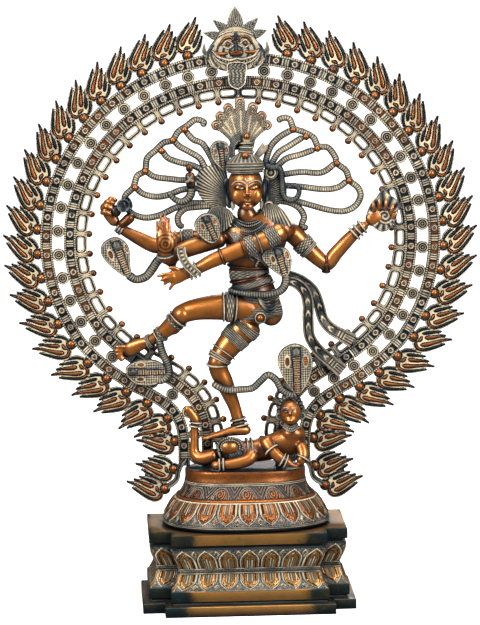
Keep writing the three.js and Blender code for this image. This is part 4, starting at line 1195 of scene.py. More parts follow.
def make_head():
    form = Form()
    limb(form, [(7, -15, 494.5, 10, 11), (7, -15.5, 498.5, 15.5, 15.5), (7, -15, 505, 19, 18.6),
                (6.5, -15, 515, 20.8, 20.5), (6, -14, 527, 21.3, 21), (6, -13, 540, 20, 20),
                (6, -12, 549, 17, 18)], sides=36)
    limb(form, [(7, -34.5, 529, 1.6, 1.6), (7.3, -36.5, 521, 2.1, 2.2), (7.7, -39, 514.5, 2.9, 2.9)],
         sides=12, step=0.7)
    for x in (4.6, 10.8):
        ball(form, (x, -36.6, 514), (2.0, 2.0, 1.8))
    ball(form, (7.6, -28.6, 500), (7.5, 4.6, 5))
    for x in (-4.5, 18.5):
        ball(form, (x, -27.4, 512.5), (7.6, 6.2, 9.5))
    limb(form, [(2.6, -33.2, 506.2, 0.8, 0.8), (5.8, -35.6, 507.6, 1.3, 1.4), (8, -36, 507, 1.2, 1.4),
                (10.2, -35.6, 507.6, 1.3, 1.4), (13.2, -33.2, 506.2, 0.8, 0.8)], sides=10, step=0.6)
    limb(form, [(3.4, -33.4, 504.8, 0.8, 0.8), (8, -35.4, 503.6, 1.7, 1.6), (12.6, -33.4, 504.8, 0.8, 0.8)],
         sides=10, step=0.6)
    lids, brows = [], []
    for way in (-1, 1):
        middle = 7.5 + way * 9.6
        rows = [(-6.6, 0.4), (-3, 2.5), (1, 2.9), (4.6, 1.6), (6.6, -0.6)]
        face = lambda x: -14 - 21.3 * math.sqrt(max(0.05, 1 - ((x - 6) / 21.5) ** 2))
        lid = [(middle + way * x, face(middle + way * x) - 0.2, 524 + z, 0.8, 0.8) for x, z in rows]
        low = [(middle + way * x, face(middle + way * x) - 0.1, 523.4 - 0.55 * z, 0.7, 0.7) for x, z in rows]
        brow = [(middle + way * x, face(middle + way * x) - 0.4, 528.2 + z, 0.85, 0.9)
                for x, z in ((-7.6, 0.6), (-4, 3.0), (1, 4.2), (6, 2.6), (9.4, -1.4))]
        for line in (lid, low, brow):
            limb(form, line, sides=8, step=0.6)
        ball(form, (middle, face(middle) + 1.9, 523.9), (4.6, 2.6, 2.7))
        lids += [lid, low]
        brows.append(brow)
    mark = [(7.2 + 1.9 * math.cos(a), -34.6, 536.4 + 4.2 * math.sin(a))
            for a in np.linspace(0, 2 * np.pi, 9)]

    def paint(points):
        tone = np.full(len(points), 0.55)
        for lines, reach, level in ((lids, 1.15, 0.10), (brows, 1.2, 0.80), ([mark], 1.1, 0.85)):
            for rows in lines:
                tone = np.where(near_line(points, [row[:3] for row in rows]) < reach, level, tone)
        for x, z, wide, tall in ((8, 505.6, 4.6, 0.5), (8, 501.4, 3.2, 0.6)):
            near = np.hypot((points[:, 0] - x) / wide, (points[:, 2] - z) / tall)
            tone = np.where((near < 1) & (points[:, 1] < -30), 0.20, tone)
        return tone

    fused("head_cast", form, paint, 0.62, skin_brass, ["head"], smooth=3)


make_body()
make_head()


# ---- hair and headdress ----

HAIR_LEFT = [
    [(-46, 598), (-44, 604), (-54, 607), (-64, 600), (-76, 592), (-83, 582), (-94, 579), (-104, 570),
     (-115, 560), (-118, 545), (-128, 538), (-133, 524), (-143, 514), (-143, 502), (-134, 491), (-118, 486),
     (-100, 489), (-80, 498), (-60, 503), (-38, 502)], [(-68, 595), (-58, 583), (-46, 577), (-37, 563),
                                                        (-30, 548)],
    [(-83, 583), (-74, 574), (-62, 567), (-50, 559), (-43, 547), (-34, 538)],
    [(-97, 570), (-89, 560), (-74, 554), (-58, 550), (-44, 542), (-30, 533)],
    [(-118, 545), (-106, 537), (-88, 534), (-70, 532), (-48, 533), (-30, 524)],
    [(-131, 525), (-121, 516), (-105, 512), (-89, 514), (-72, 520), (-50, 521), (-28, 516)],
]
CURL_LEFT = [(-34, 499), (-54, 498), (-69, 496), (-78, 487), (-77, 477), (-71, 473)]
HAIR_RIGHT = [
    [(47, 603), (55, 607), (63, 605), (68, 594), (80, 589), (92, 582), (98, 571), (110, 569), (119, 557),
     (121, 549), (132, 540), (137, 527), (147, 518), (150, 507), (143, 495), (129, 489), (110, 491),
     (86, 498), (62, 505), (44, 505)], [(31, 548), (38, 570), (50, 583), (66, 592)],
    [(38, 547), (48, 563), (62, 572), (80, 583)], [(44, 544), (58, 556), (76, 561), (94, 567)],
    [(40, 533), (52, 536), (76, 539), (102, 538), (119, 549)],
    [(40, 524), (74, 521), (104, 517), (122, 519), (134, 527)],
]
CURL_RIGHT = [(44, 504), (61, 501), (73, 494), (79, 483), (76, 472), (84, 468)]
CUSPS = {"left": [(-68, 595), (-83, 582), (-97, 569), (-118, 544), (-131, 524)],
         "right": [(67, 592), (83, 583), (97, 568), (121, 549), (136, 527)]}
FANS = {"left": ([(-17, 544), (-34, 550), (-52, 541), (-54, 520), (-46, 506), (-30, 497), (-17, 500)],
                 (-6, 508)), "right": ([(32, 546), (48, 545), (56, 528), (57, 509), (46, 498), (32, 498),
                                        (29, 520)], (18, 508))}


def combed(form, outline, pivot, y, half=3.2, pitch=0.085, tone=0.86):
    """A sheet of combed hair radiating from a pivot."""
    loop = closed(outline)

    def surface(x, z):
        turn = np.arctan2(z - pivot[1], x - pivot[0]) + 0.0018 * np.hypot(x - pivot[0], z - pivot[1])
        wave = 0.5 + 0.5 * np.cos(turn * 2 * np.pi / pitch)
        return 1.1 * wave, 0.10 + (tone - 0.10) * wave ** 1.2

    outlined_plate(form, loop, surface, half, y, 0.7)


def make_hair():
    for side, hair, curl in (("left", HAIR_LEFT, CURL_LEFT), ("right", HAIR_RIGHT, CURL_RIGHT)):
        form = Form()
        for route in hair + [curl]:
            line, _ = curve(route, 1.0)
            cord(form, line, 4.0)
        for x, z in CUSPS[side]:
            bead(form, (x, -2.5, z), 4.4, tone=RUBBED)
        outline, pivot = FANS[side]
        combed(form, outline, pivot, -1.0)
        if side == "left":
            combed(form, [(-40, 496), (-24, 500), (-10, 490), (-16, 474), (-30, 468), (-46, 478)],
                   (-24, 516), -20.0, 2.0)
        else:
            combed(form, [(28, 498), (44, 500), (60, 484), (62, 474), (44, 474), (30, 484)], (32, 520),
                   -18.0, 2.0)
        ornament(f"hair_{side}_cast", form, [f"hair_{side}"])


FEATHER_TIPS = [(-32, 606), (-26, 617), (-15, 627), (1, 635), (19, 627.5), (31, 616.5), (38, 605)]


def make_feathers():
    lines = strokes(*[[(4 + (x - 4) * 0.28, 573, 4.6), (4 + (x - 4) * 0.36, 584, 5.2),
                       (4 + (x - 4) * 0.72, 585 + (z - 585) * 0.6, 6.4), (x * 0.9 + 0.4, z - 6.5, 6.4)]
                      for x, z in FEATHER_TIPS])

    def outside(x, z):
        return np.min([stroke_distance(x, z, line)[0] for line in lines], axis=0)

    def surface(x, z):
        best = np.full(x.shape, np.inf)
        height, tone = np.zeros(x.shape), np.zeros(x.shape)
        for line in lines:
            distance, share = stroke_distance(x, z, line)
            wide = 4.6 + 1.8 * share
            side = np.clip(distance + wide, 0, None)
            barb = 0.5 + 0.5 * np.cos((share * 58 + side * 1.1) * 2 * np.pi / 3.3)
            rib = side < 0.7
            near = distance < best
            edge = smoothstep(-0.6, -0.1, distance)
            level = np.where(rib, 0.84, 0.04 + 0.88 * barb) * (1 - edge) + 0.30 * edge
            height = np.where(near, 1.3 * (1 - (side / wide) ** 2) + 0.5 * barb, height)
            tone = np.where(near, np.where((share > 0.80) & (barb < 0.55), -0.7, 0.90 * level), tone)
            best = np.minimum(best, distance)
        return height, tone

    form = Form()
    plaque(form, outside, surface, 3.0, (-44, 50, 566, 642), 0.7)
    ornament("feather_crown_cast", form, ["feather_crown"])


def make_diadem():
    form = Form()
    rows = [(6, -12, 541.5, 21.5, 21.5), (6, -12, 548, 23.4, 23.2), (6, -11.5, 554, 21.6, 21.8),
            (6, -11, 560, 17, 17.5), (6, -10, 565, 11.5, 12), (6, -9, 569, 9, 9)]
    line, along = curve(rows, 0.7)
    sides = 96
    angle = angles_round(sides)
    rings = (0.5 + 0.5 * np.cos(along * 2 * np.pi / 2.7))[:, None] + 0 * angle[None]
    ribs = 0.5 + 0.5 * np.cos(angle * 24)[None] + 0 * along[:, None]
    low = along[:, None] < 11.5
    wave = np.where(low, rings, ribs)
    tube(form, line, line[:, 3], line[:, 4], 0.10 + 0.62 * wave, sides, relief=0.9 * wave,
         round_ends=(False, True))
    limb(form, [(7, -10, 564, 10, 10), (8, -10, 572, 8, 8.5), (8, -9, 579, 6.5, 7)], tones=0.62)
    for height in (567, 572, 577):
        cuff(form, [(7, -10, 560, 10, 10), (8, -10, 572, 8, 8.5), (8, -9, 583, 6.5, 7)], (8, height), 3.4,
             ribs=1, proud=0.6)
    bead(form, (8.5, -17, 586), 4.4, tone=RUBBED)
    limb(form, [(8.5, -15, 576, 4.4, 4), (8.5, -15, 583, 4.8, 4.4), (8.5, -15, 588, 3.6, 3.6)], tones=0.7)
    ball(form, (6, -27, 563), (5, 5, 4.4), tone=RUBBED)
    for sweep in range(4):
        arc = [(-13 + sweep * 1.6, 560 - sweep), (-12 + sweep * 1.6, 572), (-7 + sweep * 1.4, 582 - sweep),
               (2, 588 - sweep * 2.4)]
        line, _ = curve([(x, -8 - sweep * 1.6, z) for x, z in arc], 1.0)
        cord(form, line, 1.7, pitch=2.2, tone=0.72)
    for x, z in ((28, 569), (35, 575), (29, 577)):
        limb(form, [(17, -7, 556, 3, 2.4), ((23 + x) / 2 + 1, -6.5, (562 + z) / 2, 3.6, 2.4),
                    (x, -6, z, 0.8, 0.8)], tones=0.62)
    ornament("diadem_cast", form, ["diadem", "crescent_moon"])


def make_ears():
    form = Form()
    for way, middle in ((-1, -15.5), (1, 31.0)):
        loop = [(0, 0, 534), (way * 3.4, 0, 530), (way * 3.0, 0, 520), (way * 1.6, 0, 508), (0, 0, 500),
                (-way * 2.4, 0, 499), (-way * 2.8, 0, 508), (-way * 1.8, 0, 520), (-way * 1.6, 0, 530),
                (0, 0, 534)]
        line, _ = curve([(middle + x, -13 + y, z) for x, y, z in loop], 1.0)
        cord(form, line, 1.9, pitch=30, tone=0.55)
        limb(form, [(middle + way * 0.6, -12, 532, 2.4, 2.2), (middle + way * 0.3, -12, 516, 2.2, 2.2),
                    (middle - way * 0.8, -12, 503, 2.2, 2.2)], tones=0.10)
        limb(form, [(middle - way * 5, -16, 506, 1.6, 1.6), (middle - way * 5.6, -17, 500, 2.6, 2.2),
                    (middle - way * 5, -17, 494, 1.0, 1.0)], tones=0.8)
    turned(form, (34.5, -15, 499), [(0, 4.6, 0.9), (1.8, 4.2, 0.85), (2.5, 2.8, 0.08), (3.6, 2.8, 0.1),
                                    (4.2, 3.6, 0.85), (5.6, 3.4, 0.8), (6.4, 1.6, 0.5)])
    turned(form, (38, -9, 540), [(0, 3.4, 0.5), (2.2, 3.2, 0.6), (2.8, 2.4, 0.1), (4.4, 2.4, 0.2),
                                 (5.0, 3.4, 0.8), (6.2, 3.4, 0.8), (7.0, 2.2, 0.1), (8.2, 3.0, 0.75),
                                 (9.2, 1.4, 0.5)])
    ornament("ears_and_rings", form, [])


make_hair()
make_feathers()
make_diadem()
make_ears()


# ---- cobras ----

def cobra_hood(form, outline, neck, head, y, half=3.0, dome=3.5, scale=1.0, tone=0.74):
    """A spread hood on its outline, with scales, two spectacle loops, a ribbed throat and a small head."""
    loop = closed(outline)
    neck, head = np.array(neck, float), np.array(head, float)
    way = (head - neck) / np.linalg.norm(head - neck)
    reach = float(np.linalg.norm(head - neck))

    def surface(x, z):
        dx, dz = x - neck[0], z - neck[1]
        up = dx * way[0] + dz * way[1]
        side = dx * way[1] - dz * way[0]
        deep = -outline_distance(x, z, loop)
        bulge = dome * np.sqrt(np.clip(deep / 12 / scale, 0, 1))
        scales = 0.5 + 0.5 * np.cos((x + z) * 1.05) * np.cos((x - z) * 1.05)
        level = 0.10 + (tone - 0.12) * smoothstep(0.15, 0.8, scales)
        height = bulge + 0.45 * scales
        throat = np.abs(side) < (3.0 + 1.2 * smoothstep(reach * 0.3, reach, up)) * scale
        rung = 0.5 + 0.5 * np.cos(up * 2 * np.pi / 2.9)
        level = np.where(throat, np.where(rung > 0.62, 0.72, RUBBED * 0.8), level)
        height = np.where(throat, height + 1.1 + 0.5 * rung, height)
        gap = np.abs(np.abs(side) - 3.9 * scale - 1.2 * scale * smoothstep(reach * 0.3, reach, up)) < 0.7
        level = np.where(gap, 0.06, level)
        eye = np.hypot((np.abs(side) - 9.5 * scale) / 3.0 / scale, (up - reach * 0.66) / 6.4 / scale)
        level = np.where((eye < 1.15) & (eye > 0.7), 0.70, np.where(eye < 0.7, RUBBED, level))
        height = height + 0.7 * np.where((eye < 1.15) & (eye > 0.7), 1, 0)
        rim = deep < 2.0
        level = np.where(rim, np.where(deep < 0.9, 0.25, 0.72), level)
        height = np.where(rim, bulge + 0.9, height)
        return height, level

    outlined_plate(form, loop, surface, half, y, 0.62, back=0.6, back_tone=0.5)
    top = head - way * 2.5 * scale
    low = head - way * 9 * scale
    limb(form, [(top[0], y - half - dome + 1, top[1], 4.6 * scale, 3.4),
                (low[0], y - half - dome - 2.2, low[1], 3.8 * scale, 2.6),
                (low[0] - way[0] * 3 * scale, y - half - dome - 2.4, low[1] - way[1] * 3 * scale,
                 2.2 * scale, 1.6)], tones=0.3)
    for turn in (-1, 1):
        spot = top + np.array([way[1], -way[0]]) * turn * 2.8 * scale
        bead(form, (spot[0], y - half - dome - 1.6, spot[1]), 1.5 * scale, tone=0.12, rings=5, sides=10)


def snake_body(form, rows, tone=0.74):
    """A snake's body with ribs, through rows of x, y, z and radius."""
    line, along = curve(rows, 0.9)
    sides = 16
    angle = angles_round(sides)
    rib = 0.5 + 0.5 * np.cos(along * 2 * np.pi / 3.1)[:, None]
    face = (0.05 + 0.95 * np.abs(np.sin(angle)) ** 1.8)[None]
    tube(form, line, line[:, 3], line[:, 3], (0.10 + (tone - 0.10) * rib) * face, sides,
         relief=0.25 * rib + 0 * face)


def make_upper_cobras():
    arm = Form()
    cobra_hood(arm, [(-146, 414), (-161, 425), (-174, 441), (-173, 455), (-160, 463), (-148, 460),
                     (-140, 449), (-139, 430), (-138, 415)], (-142, 416), (-158, 461), -8, 3.2, 4.0, 1.15)
    snake_body(arm, [(-96, -6, 438, 5.2), (-105, -8, 432, 5.6), (-112, -8, 422, 5.6), (-120, -8, 413, 5.4),
                     (-132, -8, 410, 5.2), (-143, -9, 417, 5.8)])
    for i in range(4):
        line, _ = curve([(-106 + i * 4.4, -20, 442 - i * 0.9), (-99 + i * 2.8, -24, 434.5 - i * 2.0),
                         (-88 + i, -25, 431.5 - i * 1.6), (-78 - i * 1.4, -22, 438 - i * 1.6)], 1.0)
        cord(arm, line, 1.7, pitch=40, tone=0.86)
    ornament("arm_cobra_cast", arm, ["arm_cobra"])

    shoulder = Form()
    cobra_hood(shoulder, [(-38, 455), (-52, 464), (-59, 478), (-52, 490), (-41, 493), (-30, 488), (-26, 474),
                          (-29, 460)], (-32, 459), (-46, 491), -29, 3.0, 3.4, 0.85)
    ornament("shoulder_cobra_cast", shoulder, ["shoulder_cobra"])

    waist = Form()
    cobra_hood(waist, [(50, 412), (35, 422), (24, 436), (29, 446), (43, 450), (56, 446), (61, 433),
                       (58, 416)], (53, 413), (43, 449), -31, 3.0, 3.6, 0.95)
    snake_body(waist, [(54, -30, 418, 5.4), (53, -31, 404, 5.2), (47, -33, 395, 5), (34, -35, 391, 4.6),
                       (10, -33, 391, 4.2), (-10, -27, 394, 3.8), (-16, -16, 396, 3.4)])
    ornament("waist_cobra_cast", waist, ["waist_cobra"])


def make_leg_cobras():
    shin = Form()
    cobra_hood(shin, [(62, 264), (50, 281), (42, 303), (47, 319), (64, 327), (80, 319), (86, 303), (81, 281),
                      (70, 264)], (66, 266), (65, 325), -22, 3.2, 4.4, 1.2)
    snake_body(shin, [(-40, -24, 280, 3.6), (-34, -28, 276, 4.4), (-22, -28, 271, 4.6), (-4, -26, 271, 4.6),
                      (10, -23, 272, 4.6), (20, -22, 280, 4.6), (30, -22, 288, 4.6), (40, -22, 281, 4.8),
                      (47, -22, 269, 4.8), (60, -23, 262, 5.2), (68, -22, 268, 5.6)])
    ornament("shin_cobra_cast", shin, ["shin_cobra"])

    leg = Form()
    cobra_hood(leg, [(-97, 288), (-110, 276), (-134, 277), (-146, 288), (-146, 299), (-132, 307),
                     (-112, 307), (-99, 300)], (-99, 292), (-144, 293), 2, 3.2, 4.0, 0.95)
    snake_body(leg, [(-106, -10, 340, 4.6), (-104, -8, 328, 5), (-100, -4, 314, 5), (-94, -2, 300, 5),
                     (-94, -1, 288, 5), (-104, 0, 281, 5), (-116, 1, 284, 4.6)])
    ornament("leg_cobra_cast", leg, ["leg_cobra"])


def make_hair_snakes():
    """The small cobra and the thin snake beside the head, and the river figure in the locks."""
    crown = Form()
    cobra_hood(crown, [(-21, 543), (-33, 556), (-37, 570), (-32, 579), (-24, 581), (-15, 577), (-12, 564),
                       (-17, 546)], (-20, 546), (-25, 580), -6, 2.4, 2.6, 0.72)
    ornament("crown_cobra_cast", crown, ["crown_cobra"])

    head = Form()
    snake_body(head, [(30, -10, 549, 3), (38, -11, 546, 3.6), (49, -10, 545, 3.8), (52, -9, 530, 3.6),
                      (53, -9, 512, 3.6), (61, -9, 505, 3.4), (70, -9, 508, 3.2), (73, -9, 517, 3),
                      (67, -9, 524, 2.8), (58, -9, 520, 2)], tone=0.4)
    ornament("head_snake_cast", head, ["head_snake"])

    river = Form()
    limb(river, [(-63, -12, 553, 4.2, 4), (-63, -12, 546, 4.4, 4.2), (-63, -12, 542, 2.6, 3)], tones=-0.5)
    limb(river, [(-63, -12, 543, 5.4, 4), (-62, -12, 532, 6.4, 4.6), (-61, -12, 522, 5.2, 4.2)], tones=-0.3)
    snake_body(river, [(-61, -12, 524, 5.4), (-63, -12, 513, 5.2), (-73, -12, 506, 4.4),
                       (-84, -12, 511, 3.6), (-90, -12, 520, 2.4)])
    digits(river, [(-66, -14, 538), (-60, -14, 538)], [(-57, -18, 532), (-69, -18, 531)], 2.0, 1.6,
           (0, -3, -2))
    ornament("river_figure_cast", river, ["river_figure"])


make_upper_cobras()
make_leg_cobras()
make_hair_snakes()


# ---- sashes, belts and jewellery ----

SASH_UPPER = [(56, -8, 413, 5), (74, -5, 404, 6.5), (89, -2, 390, 7), (96, 0, 372, 7), (101, 2, 354, 7),
              (110, 3, 342, 7.5), (124, 3, 333, 8), (138, 3, 325, 9)]
SASH_LOWER = [(50, -14, 406, 5), (67, -12, 401, 6.5), (78, -10, 390, 7), (82, -6, 374, 7), (82, -3, 354, 7),
              (84, 0, 332, 7), (95, 2, 314, 7.5), (110, 3, 300, 8), (125, 3, 287, 9)]


def sash(form, rows):
    """A strap with plain raised edges, chased ends with cross lines and a short fringe."""
    line, along = curve(rows, 1.0)
    s = along[:, None]
    end = (along[-1] - along)[:, None]
    t = np.linspace(-1, 1, 19)[None]
    rim = ridge(np.abs(t), 0.88, 0.13)
    seam = ridge(np.abs(t), 0.55, 0.1)
    vine = 0.5 + 0.5 * np.cos(s / 2.6 + np.cos(t * 4) * 2)
    fringe = 0.5 + 0.5 * np.cos(t * 17)
    cross = 0.5 + 0.5 * np.cos(end * 2 * np.pi / 4.0)
    plain = 0.26 + 0.12 * np.cos(s / 7)
    level = np.where(end < 12, 0.12 + 0.6 * fringe, np.where(end < 24, 0.12 + 0.7 * cross, plain))
    height = np.where(end < 12, 0.8 * fringe, np.where(end < 24, 0.8 * cross, 0.25 * vine))
    level = np.where((vine > 0.86) & (end > 26) & (np.abs(t) < 0.4), 0.75, level)
    level = np.where(seam > 0.4, RUBBED * 0.7, level)
    level = np.where(rim > 0.3, 0.52, level)
    height = np.where(rim > 0.3, 1.0, np.where(seam > 0.4, 0.8, height))
    slab(form, line[:, :3], t * line[:, 3:4], height, level, 1.6)


def make_sashes():
    """The two sash ribbons and the scarf end at the crossing arm."""
    for name, rows in (("upper", SASH_UPPER), ("lower", SASH_LOWER)):
        form = Form()
        sash(form, rows)
        ornament(f"sash_{name}_cast", form, [f"sash_{name}"])

    form = Form()
    line, _ = curve([(-76, -42, 452), (-75, -44, 443), (-70, -47, 432), (-62, -48, 424), (-56, -48, 418)],
                    1.0)
    braid(form, line, 5.5, lanes=2)
    ornament("scarf_end_cast", form, ["scarf_end"])


def make_belts():
    """Belts, necklaces and cords that lie on the torso."""
    belts = Form()
    for z, length, ribs, proud, beads in ((424, 3.2, 1, 1.6, 0), (416, 9, 3, 0.9, 15), (409.5, 3, 1, 1.8, 0),
                                          (402, 8, 3, 1.0, 18), (396, 3, 1, 2.0, 0), (384, 10, 5, 0.6, 0),
                                          (366, 14, 7, 0.2, 0)):
        copper = beads == 0 and ribs == 1
        cuff(belts, TORSO, (12, z), length, ribs=ribs, proud=proud, beads=beads, low=0.10,
             high=RUBBED if copper else 0.84)
    for reach in range(4):
        spots = [(18 + reach * 0.6, 389 - reach * 2.2), (24 + reach, 382 - reach * 3.4),
                 (34, 378.5 - reach * 3.8), (43 - reach * 0.2, 382 - reach * 3.2)]
        cord(belts, front_line(TORSO, spots, 1.2), 1.5, pitch=40, tone=0.88)
    bead(belts, (21, -34, 361), 5.0, tone=RUBBED)
    turned(belts, (21, -32.5, 361), [(5.2, 2.2, 0.1), (6.2, 3.0, 0.85), (7.2, 1.8, 0.6)])
    necklaces = ((0.7, 1.4), (0.84, 1.5), (0.5, 1.2), (0.86, 1.6), (0.6, 1.3))  # tone and radius
    for lane, (tone, radius) in enumerate(necklaces, -1):
        drop = lane * 3.6
        spots = [(-12 - lane * 1.5, 486 - drop * 0.5), (-4, 479 - drop * 0.9), (8, 475 - drop),
                 (20, 478 - drop * 0.9), (30 + lane * 1.5, 485 - drop * 0.5)]
        cord(belts, front_line(TORSO, spots, 1.4), radius, pitch=2.4, tone=tone)
    chest = front_line(TORSO, [(-14, 470), (-2, 456), (12, 444), (26, 434), (34, 424)], 1.4)
    braid(belts, chest, 4.2, pitch=4.4)
    thread = front_line(TORSO, [(40, 470), (30, 452), (22, 436), (16, 424)], 1.2)
    cord(belts, thread, 1.6, pitch=2.8, tone=0.84)
    cord(belts, front_line(TORSO, [(-18, 452), (-8, 446), (4, 440), (14, 432)], 1.0), 1.4, pitch=2.6,
         tone=0.8)
    ornament("belts_and_necklaces", belts, [])


def make_arm_bands():
    """Armlets, bangles and bracelets, one piece for each group."""
    bands = Form()
    for rows, near, length, ribs, beads in (
            (DRUM_ARM, (-66, 458), 12, 3, 12), (DRUM_ARM, (-60, 458), 2.6, 1, 0),
            (DRUM_ARM, (-74, 457), 2.6, 1, 0), (DRUM_ARM, (-150, 474), 9, 3, 0)):
        cuff(bands, rows, near, length, ribs=ribs, beads=beads)
    limb(bands, [(-152, -3, 476, 5, 5), (-146, -5, 480, 6, 6), (-138, -6, 487, 6.5, 6.5),
                 (-134, -6, 491, 4.5, 5)], tones=-0.55)
    ornament("armlets_drum_arm", bands, ["armlet_drum_arm"])

    bands = Form()
    cuff(bands, FLAME_ARM, (78, 449), 11, 3, beads=12)
    cuff(bands, FLAME_ARM, (84, 442), 6, 3)
    ornament("armlets_flame_arm", bands, ["armlet_flame_arm"])
    bands = Form()
    cuff(bands, FLAME_ARM, (106, 424), 3.4, 1, proud=2.2, high=RUBBED)
    for spot in ((142, 460), (147, 464), (152, 468)):
        cuff(bands, FLAME_ARM, spot, 3.6, 1, proud=2.4, high=0.72)
    ornament("bangles_flame_arm", bands, ["bracelet_flame_arm"])

    bands = Form()
    for spot in ((-57, 425), (-61.5, 423), (-66, 421.5)):
        cuff(bands, CROSSING_ARM, spot, 3.4, 1, proud=2.4, high=0.8)
    cuff(bands, CROSSING_ARM, (10, 451), 12, 4, beads=10, proud=1.0)
    cuff(bands, CROSSING_ARM, (20, 455), 3, 1, high=0.6)
    cuff(bands, CROSSING_ARM, (1, 448), 3, 1, high=RUBBED)
    cuff(bands, CROSSING_ARM, (-26, 439), 4, 1, proud=1.2, high=RUBBED)
    cuff(bands, BLESSING_ARM, (-95, 443), 3, 1, high=0.85)
    cuff(bands, CROSSING_ARM, (36, 461), 16, 6, beads=8, proud=0.8)
    ornament("bangles_crossing_arm", bands, ["bracelet_crossing_arm"])


def make_leg_bands():
    """The anklets and the bands over both knees."""
    bands = Form()
    for z, high in ((232, 0.8), (227, RUBBED), (223, 0.85)):
        cuff(bands, STANDING_LEG, (-7, z), 3.6, 1, proud=2.0, high=high)
    ornament("anklets", bands, ["anklet_standing_leg"])
    bands = Form()
    for spot, length, ribs in (((-24, 317), 3, 1), ((-29, 310), 7, 3), ((-33, 302), 3, 1),
                               ((-10, 333), 16, 7), ((2, 346), 10, 5)):
        cuff(bands, STANDING_LEG, spot, length, ribs, proud=0.7 if ribs > 3 else 1.6, high=0.78)
    ornament("knee_bands_standing_leg", bands, ["knee_band_standing_leg"])
    bands = Form()
    for spot, length, ribs, beads in (((-24, 374), 3, 1, 0), ((-17, 374), 9, 3, 9), ((-10, 373), 3, 1, 0),
                                      ((-81, 360), 3.4, 1, 0), ((-85, 356), 4, 1, 14),
                                      ((-102, 341), 4, 1, 12), ((-106, 338), 2.6, 1, 0),
                                      ((-117, 331), 7, 3, 0)):
        cuff(bands, RAISED_LEG, spot, length, ribs, beads=beads, proud=1.6)
    ornament("knee_bands_raised_leg", bands, ["knee_band_raised_leg"])


make_sashes()
make_belts()
make_arm_bands()
make_leg_bands()


# ---- what the hands hold ----

def make_attributes():
    drum = Form()
    line, along = curve([(-160, -4, 492, 8.4, 8.4), (-155, -5, 496, 7.6, 7.6), (-150, -6, 499, 5.4, 5.4),
                         (-145, -7, 502, 7.8, 7.8), (-141, -8, 505, 9.2, 9.2)], 0.7)
    tube(drum, line, line[:, 3], line[:, 4], -0.3 + 0.5 * np.cos(along * 1.6), 24, round_ends=(True, False))
    turned(drum, (-140.5, -8.5, 505), [(0, 0.8, 0.02), (7.2, 0.8, 0.03), (7.8, 1.4, 0.35), (8.6, 1.4, 0.3),
                                       (9.2, 0.6, 0.2)], axis=(0.8, -0.5, 0.35))
    turned(drum, (-146, -15, 503), [(0, 0.6, 0.02), (6.6, 0.8, 0.02), (7.2, 1.5, 0.3), (8.0, 1.5, 0.35),
                                    (8.6, 0.6, 0.1)])
    ornament("drum_cast", drum, ["drum"])

    flame = Form()
    loop = closed([(164, 470), (158, 484), (163, 497), (170, 505), (178, 515), (187, 508), (197, 499),
                   (195, 482), (188, 468), (176, 462)])

    def surface(x, z):
        dx, dz = x - 180, z - 482
        radius, turn = np.hypot(dx, dz), np.arctan2(dz, dx)
        coil = 0.5 + 0.5 * np.cos(radius * 1.25 - turn)
        fingers = 0.5 + 0.5 * np.cos(turn * 13)
        wave = np.where(radius < 11, coil, fingers)
        edge = -outline_distance(x, z, loop)
        wave = np.where(edge < 1.2, 0.5, wave)
        return 1.4 * wave, 0.10 + 0.66 * wave

    outlined_plate(flame, loop, surface, 3.4, 1, 0.65, box=(152, 202, 456, 520))
    ornament("hand_flame_cast", flame, ["hand_flame"])


make_attributes()


# ---- the dwarf ----

DWARF_BODY = [(76, -12, 206, 12, 12), (62, -12, 204, 17, 15), (42, -11, 198, 17, 15), (18, -11, 192, 15, 14),
              (-6, -13, 191, 15, 15), (-24, -15, 191, 17, 15), (-36, -15, 188, 12, 12)]
DWARF_ARM_NEAR = [(24, -24, 209, 9, 7), (30, -32, 198, 7.5, 7), (42, -38, 185, 7, 6), (56, -38, 178, 6.5, 5)]
DWARF_ARM_FAR = [(68, -26, 202, 8, 7), (72, -33, 188, 7, 6), (66, -37, 177, 6, 5)]
DWARF_SHIN = [(10, -28, 194, 9, 8), (4, -34, 184, 8, 8), (-14, -37, 179, 7.5, 7), (-34, -36, 177.5, 6, 6),
              (-44, -35, 177, 6, 4)]
DWARF_LEG_UP = [(-34, -18, 188, 11, 11), (-54, -17, 184, 9, 9), (-63, -14, 190, 7, 7.5),
                (-63, -13, 206, 5.6, 6), (-63, -12, 222, 5.2, 5.4), (-62, -12, 232, 6.4, 5),
                (-68, -12, 242, 5.4, 4.6), (-74, -12, 250, 4, 4)]


